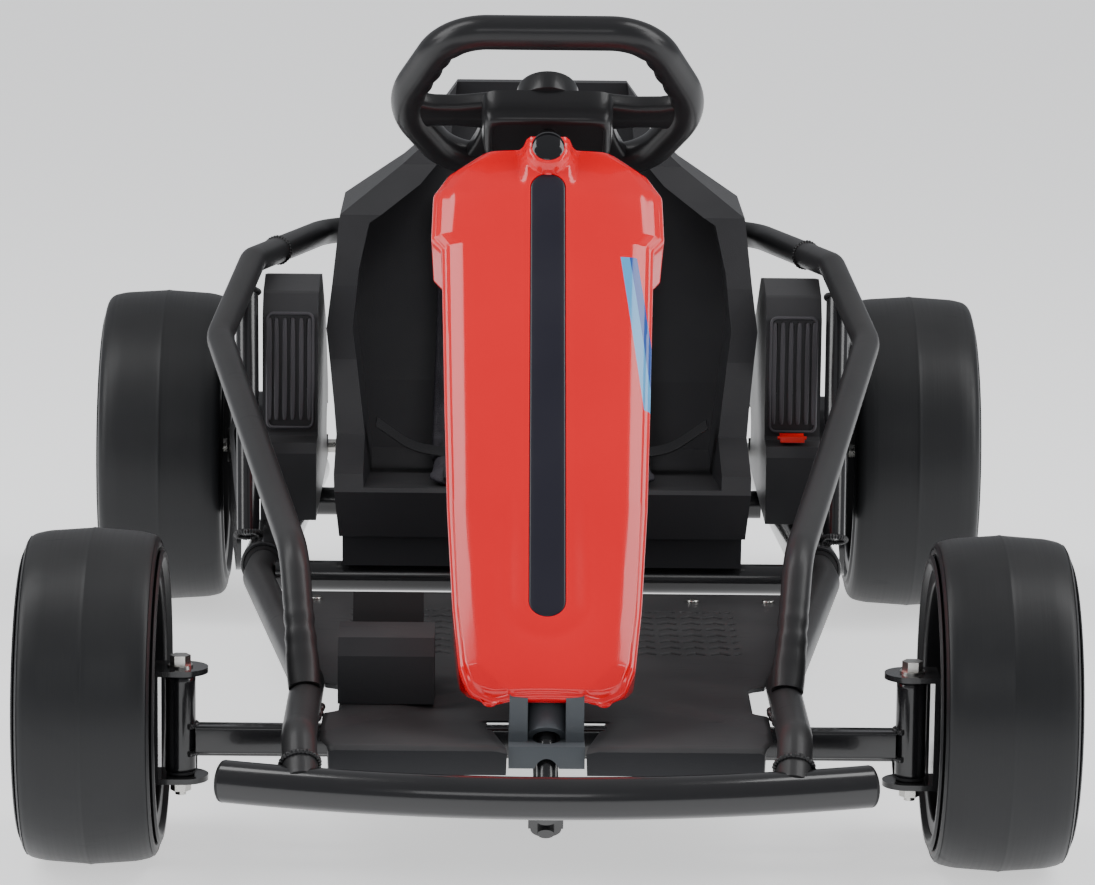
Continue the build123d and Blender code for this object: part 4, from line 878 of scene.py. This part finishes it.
top_line = spaced(fillet_path([(0, y, z) for y, z in PAD_TOP], [8, 90, 30, 40, 40, 90], 10), 6.0)
step = np.gradient(top_line, axis=0)
normal = np.stack([0 * step[:, 0], -step[:, 2], step[:, 1]], axis=-1) / np.linalg.norm(step, axis=1)[:, None]
pad_rows = []
for k, (spot, out) in enumerate(zip(top_line, normal)):
    taper = 1 - np.clip(1 - min(k, len(top_line) - 1 - k) / 4, 0, 1) ** 2 * 0.12
    shape = squircle(PAD_HALF * taper, PAD_THIN, 5.0, 72)
    rise = shape[:, 1] - 0.2
    pad_rows.append(np.stack([shape[:, 0], spot[1] + out[1] * rise, spot[2] + out[2] * rise], axis=-1))
pad = skin("seat_cushion", row(np.array(pad_rows)))
remesh = pad.modifiers.new("even", "REMESH")
remesh.mode, remesh.voxel_size = "VOXEL", VOXEL
bpy.context.view_layer.objects.active = pad
pad.select_set(True)
bpy.ops.object.modifier_apply(modifier="even")
still = np.empty(len(pad.data.vertices) * 3)
pad.data.vertices.foreach_get("co", still)
cloth = pad.modifiers.new("swell", "CLOTH")
cloth.settings.use_pressure, cloth.settings.uniform_pressure_force = True, PRESSURE
cloth.settings.effector_weights.gravity = 0.0
for frame_number in range(1, FRAMES + 1):
    bpy.context.scene.frame_set(frame_number)
bpy.ops.object.modifier_apply(modifier="swell")
bpy.context.scene.frame_set(1)
moved = np.empty_like(still)
pad.data.vertices.foreach_get("co", moved)
shift = (moved - still).reshape(-1, 3)
far = np.linalg.norm(shift, axis=1)[:, None]
shift = shift * np.minimum(1.0, MOST_SWELL / np.maximum(far, 1e-9))
pad.data.vertices.foreach_set("co", (still.reshape(-1, 3) + shift).ravel())
pad.data.shade_smooth()
fit(pad, leather, "upholstery", "chassis", "seat_pad")
piping_x = np.interp(top_line[:, 1], [447, 600, 780], [78, 84, 62])
for name, side in SIDES:
    piping = top_line + normal * 3.2
    piping[:, 0] += side * piping_x
    fit(sweep(f"seat_piping_{name}", row(piping), ring(0.0019, 14)), seat_finish, "upholstery", "chassis")

webbing = Finish("webbing", (0.010, 0.010, 0.011), 0.62, grain=1500.0, bump=0.1, light=1.6)
warp = webbing.flow()
rib_v = webbing.maths("SINE", webbing.maths("MULTIPLY", warp["X"], 2600.0))
rib_u = webbing.maths("SINE", webbing.maths("MULTIPLY", warp["Y"], 3300.0))
webbing.emboss(webbing.maths("MULTIPLY", webbing.maths("MULTIPLY_ADD", rib_v, rib_u, 1.0), 0.5))
for name, side in SIDES:
    strap = row([(27 * side, 579, 188.5), (74 * side, 579, 188.6), (108 * side, 579, 194.5),
                 (137 * side, 579, 215)])
    strap = spaced(fillet_path(strap, [0.05, 0.05], 14), 0.003)
    fit(sweep(f"strap_{name}", strap, squircle(0.019, 0.0010, 6.0, 60), lift=(0, 0, 1)), webbing,
        "webbing", "chassis", f"belt_{name}")
dress(gloss, "belt_buckle", soften=0.0010)

# ---- Motor covers ----
# Tall moulded covers over the motors, each with six slats on its front panel inside a raised rim; the
# power switch sits on the driver's left ledge.

cover_finish = Finish("cover_plastic", (0.020, 0.020, 0.022), 0.40, grain=1200.0, bump=0.30,
                      patchy=0.10, dust=0.14)
panel_finish = Finish("louvre_panel", (0.052, 0.050, 0.056), 0.46, grain=1300.0, bump=0.25,
                      patchy=0.08, dust=0.05)
dress(cover_finish, "motor_cover_left", "motor_cover_right", soften=0.0030)
PANEL_X, PANEL_Z, PANEL_HALF_X, PANEL_HALF_Z = 209, 254, 19.0, 48.0
SLAT_X = (-16, -9.2, -2.2, 4.5, 11.4, 17.2)
for name, side in SIDES:
    rim = [(side * (PANEL_X + a * PANEL_HALF_X), 599.0, PANEL_Z + b * PANEL_HALF_Z)
           for a, b in ((-1, -1), (1, -1), (1, 1), (-1, 1))]
    rim = spaced(fillet_path(row(rim), [0.005] * 4, 6, True), 0.004, True)
    fit(sweep(f"panel_rim_{name}", rim, ring(0.0013, 10), closed=True), panel_finish, "moulded_black",
        "chassis")
    for k, x in enumerate(SLAT_X):
        middle = (side * (PANEL_X + x), PANEL_Z + 1)
        slat = loft(f"panel_slat_{name}_{k}", [(*middle, 600.2, 1.9, 43), (*middle, 598.6, 1.9, 43),
                                              (*middle, 598.1, 1.3, 42)], upright, 6.0, 36)
        fit(slat, panel_finish, "moulded_black", "chassis")

low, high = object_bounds()
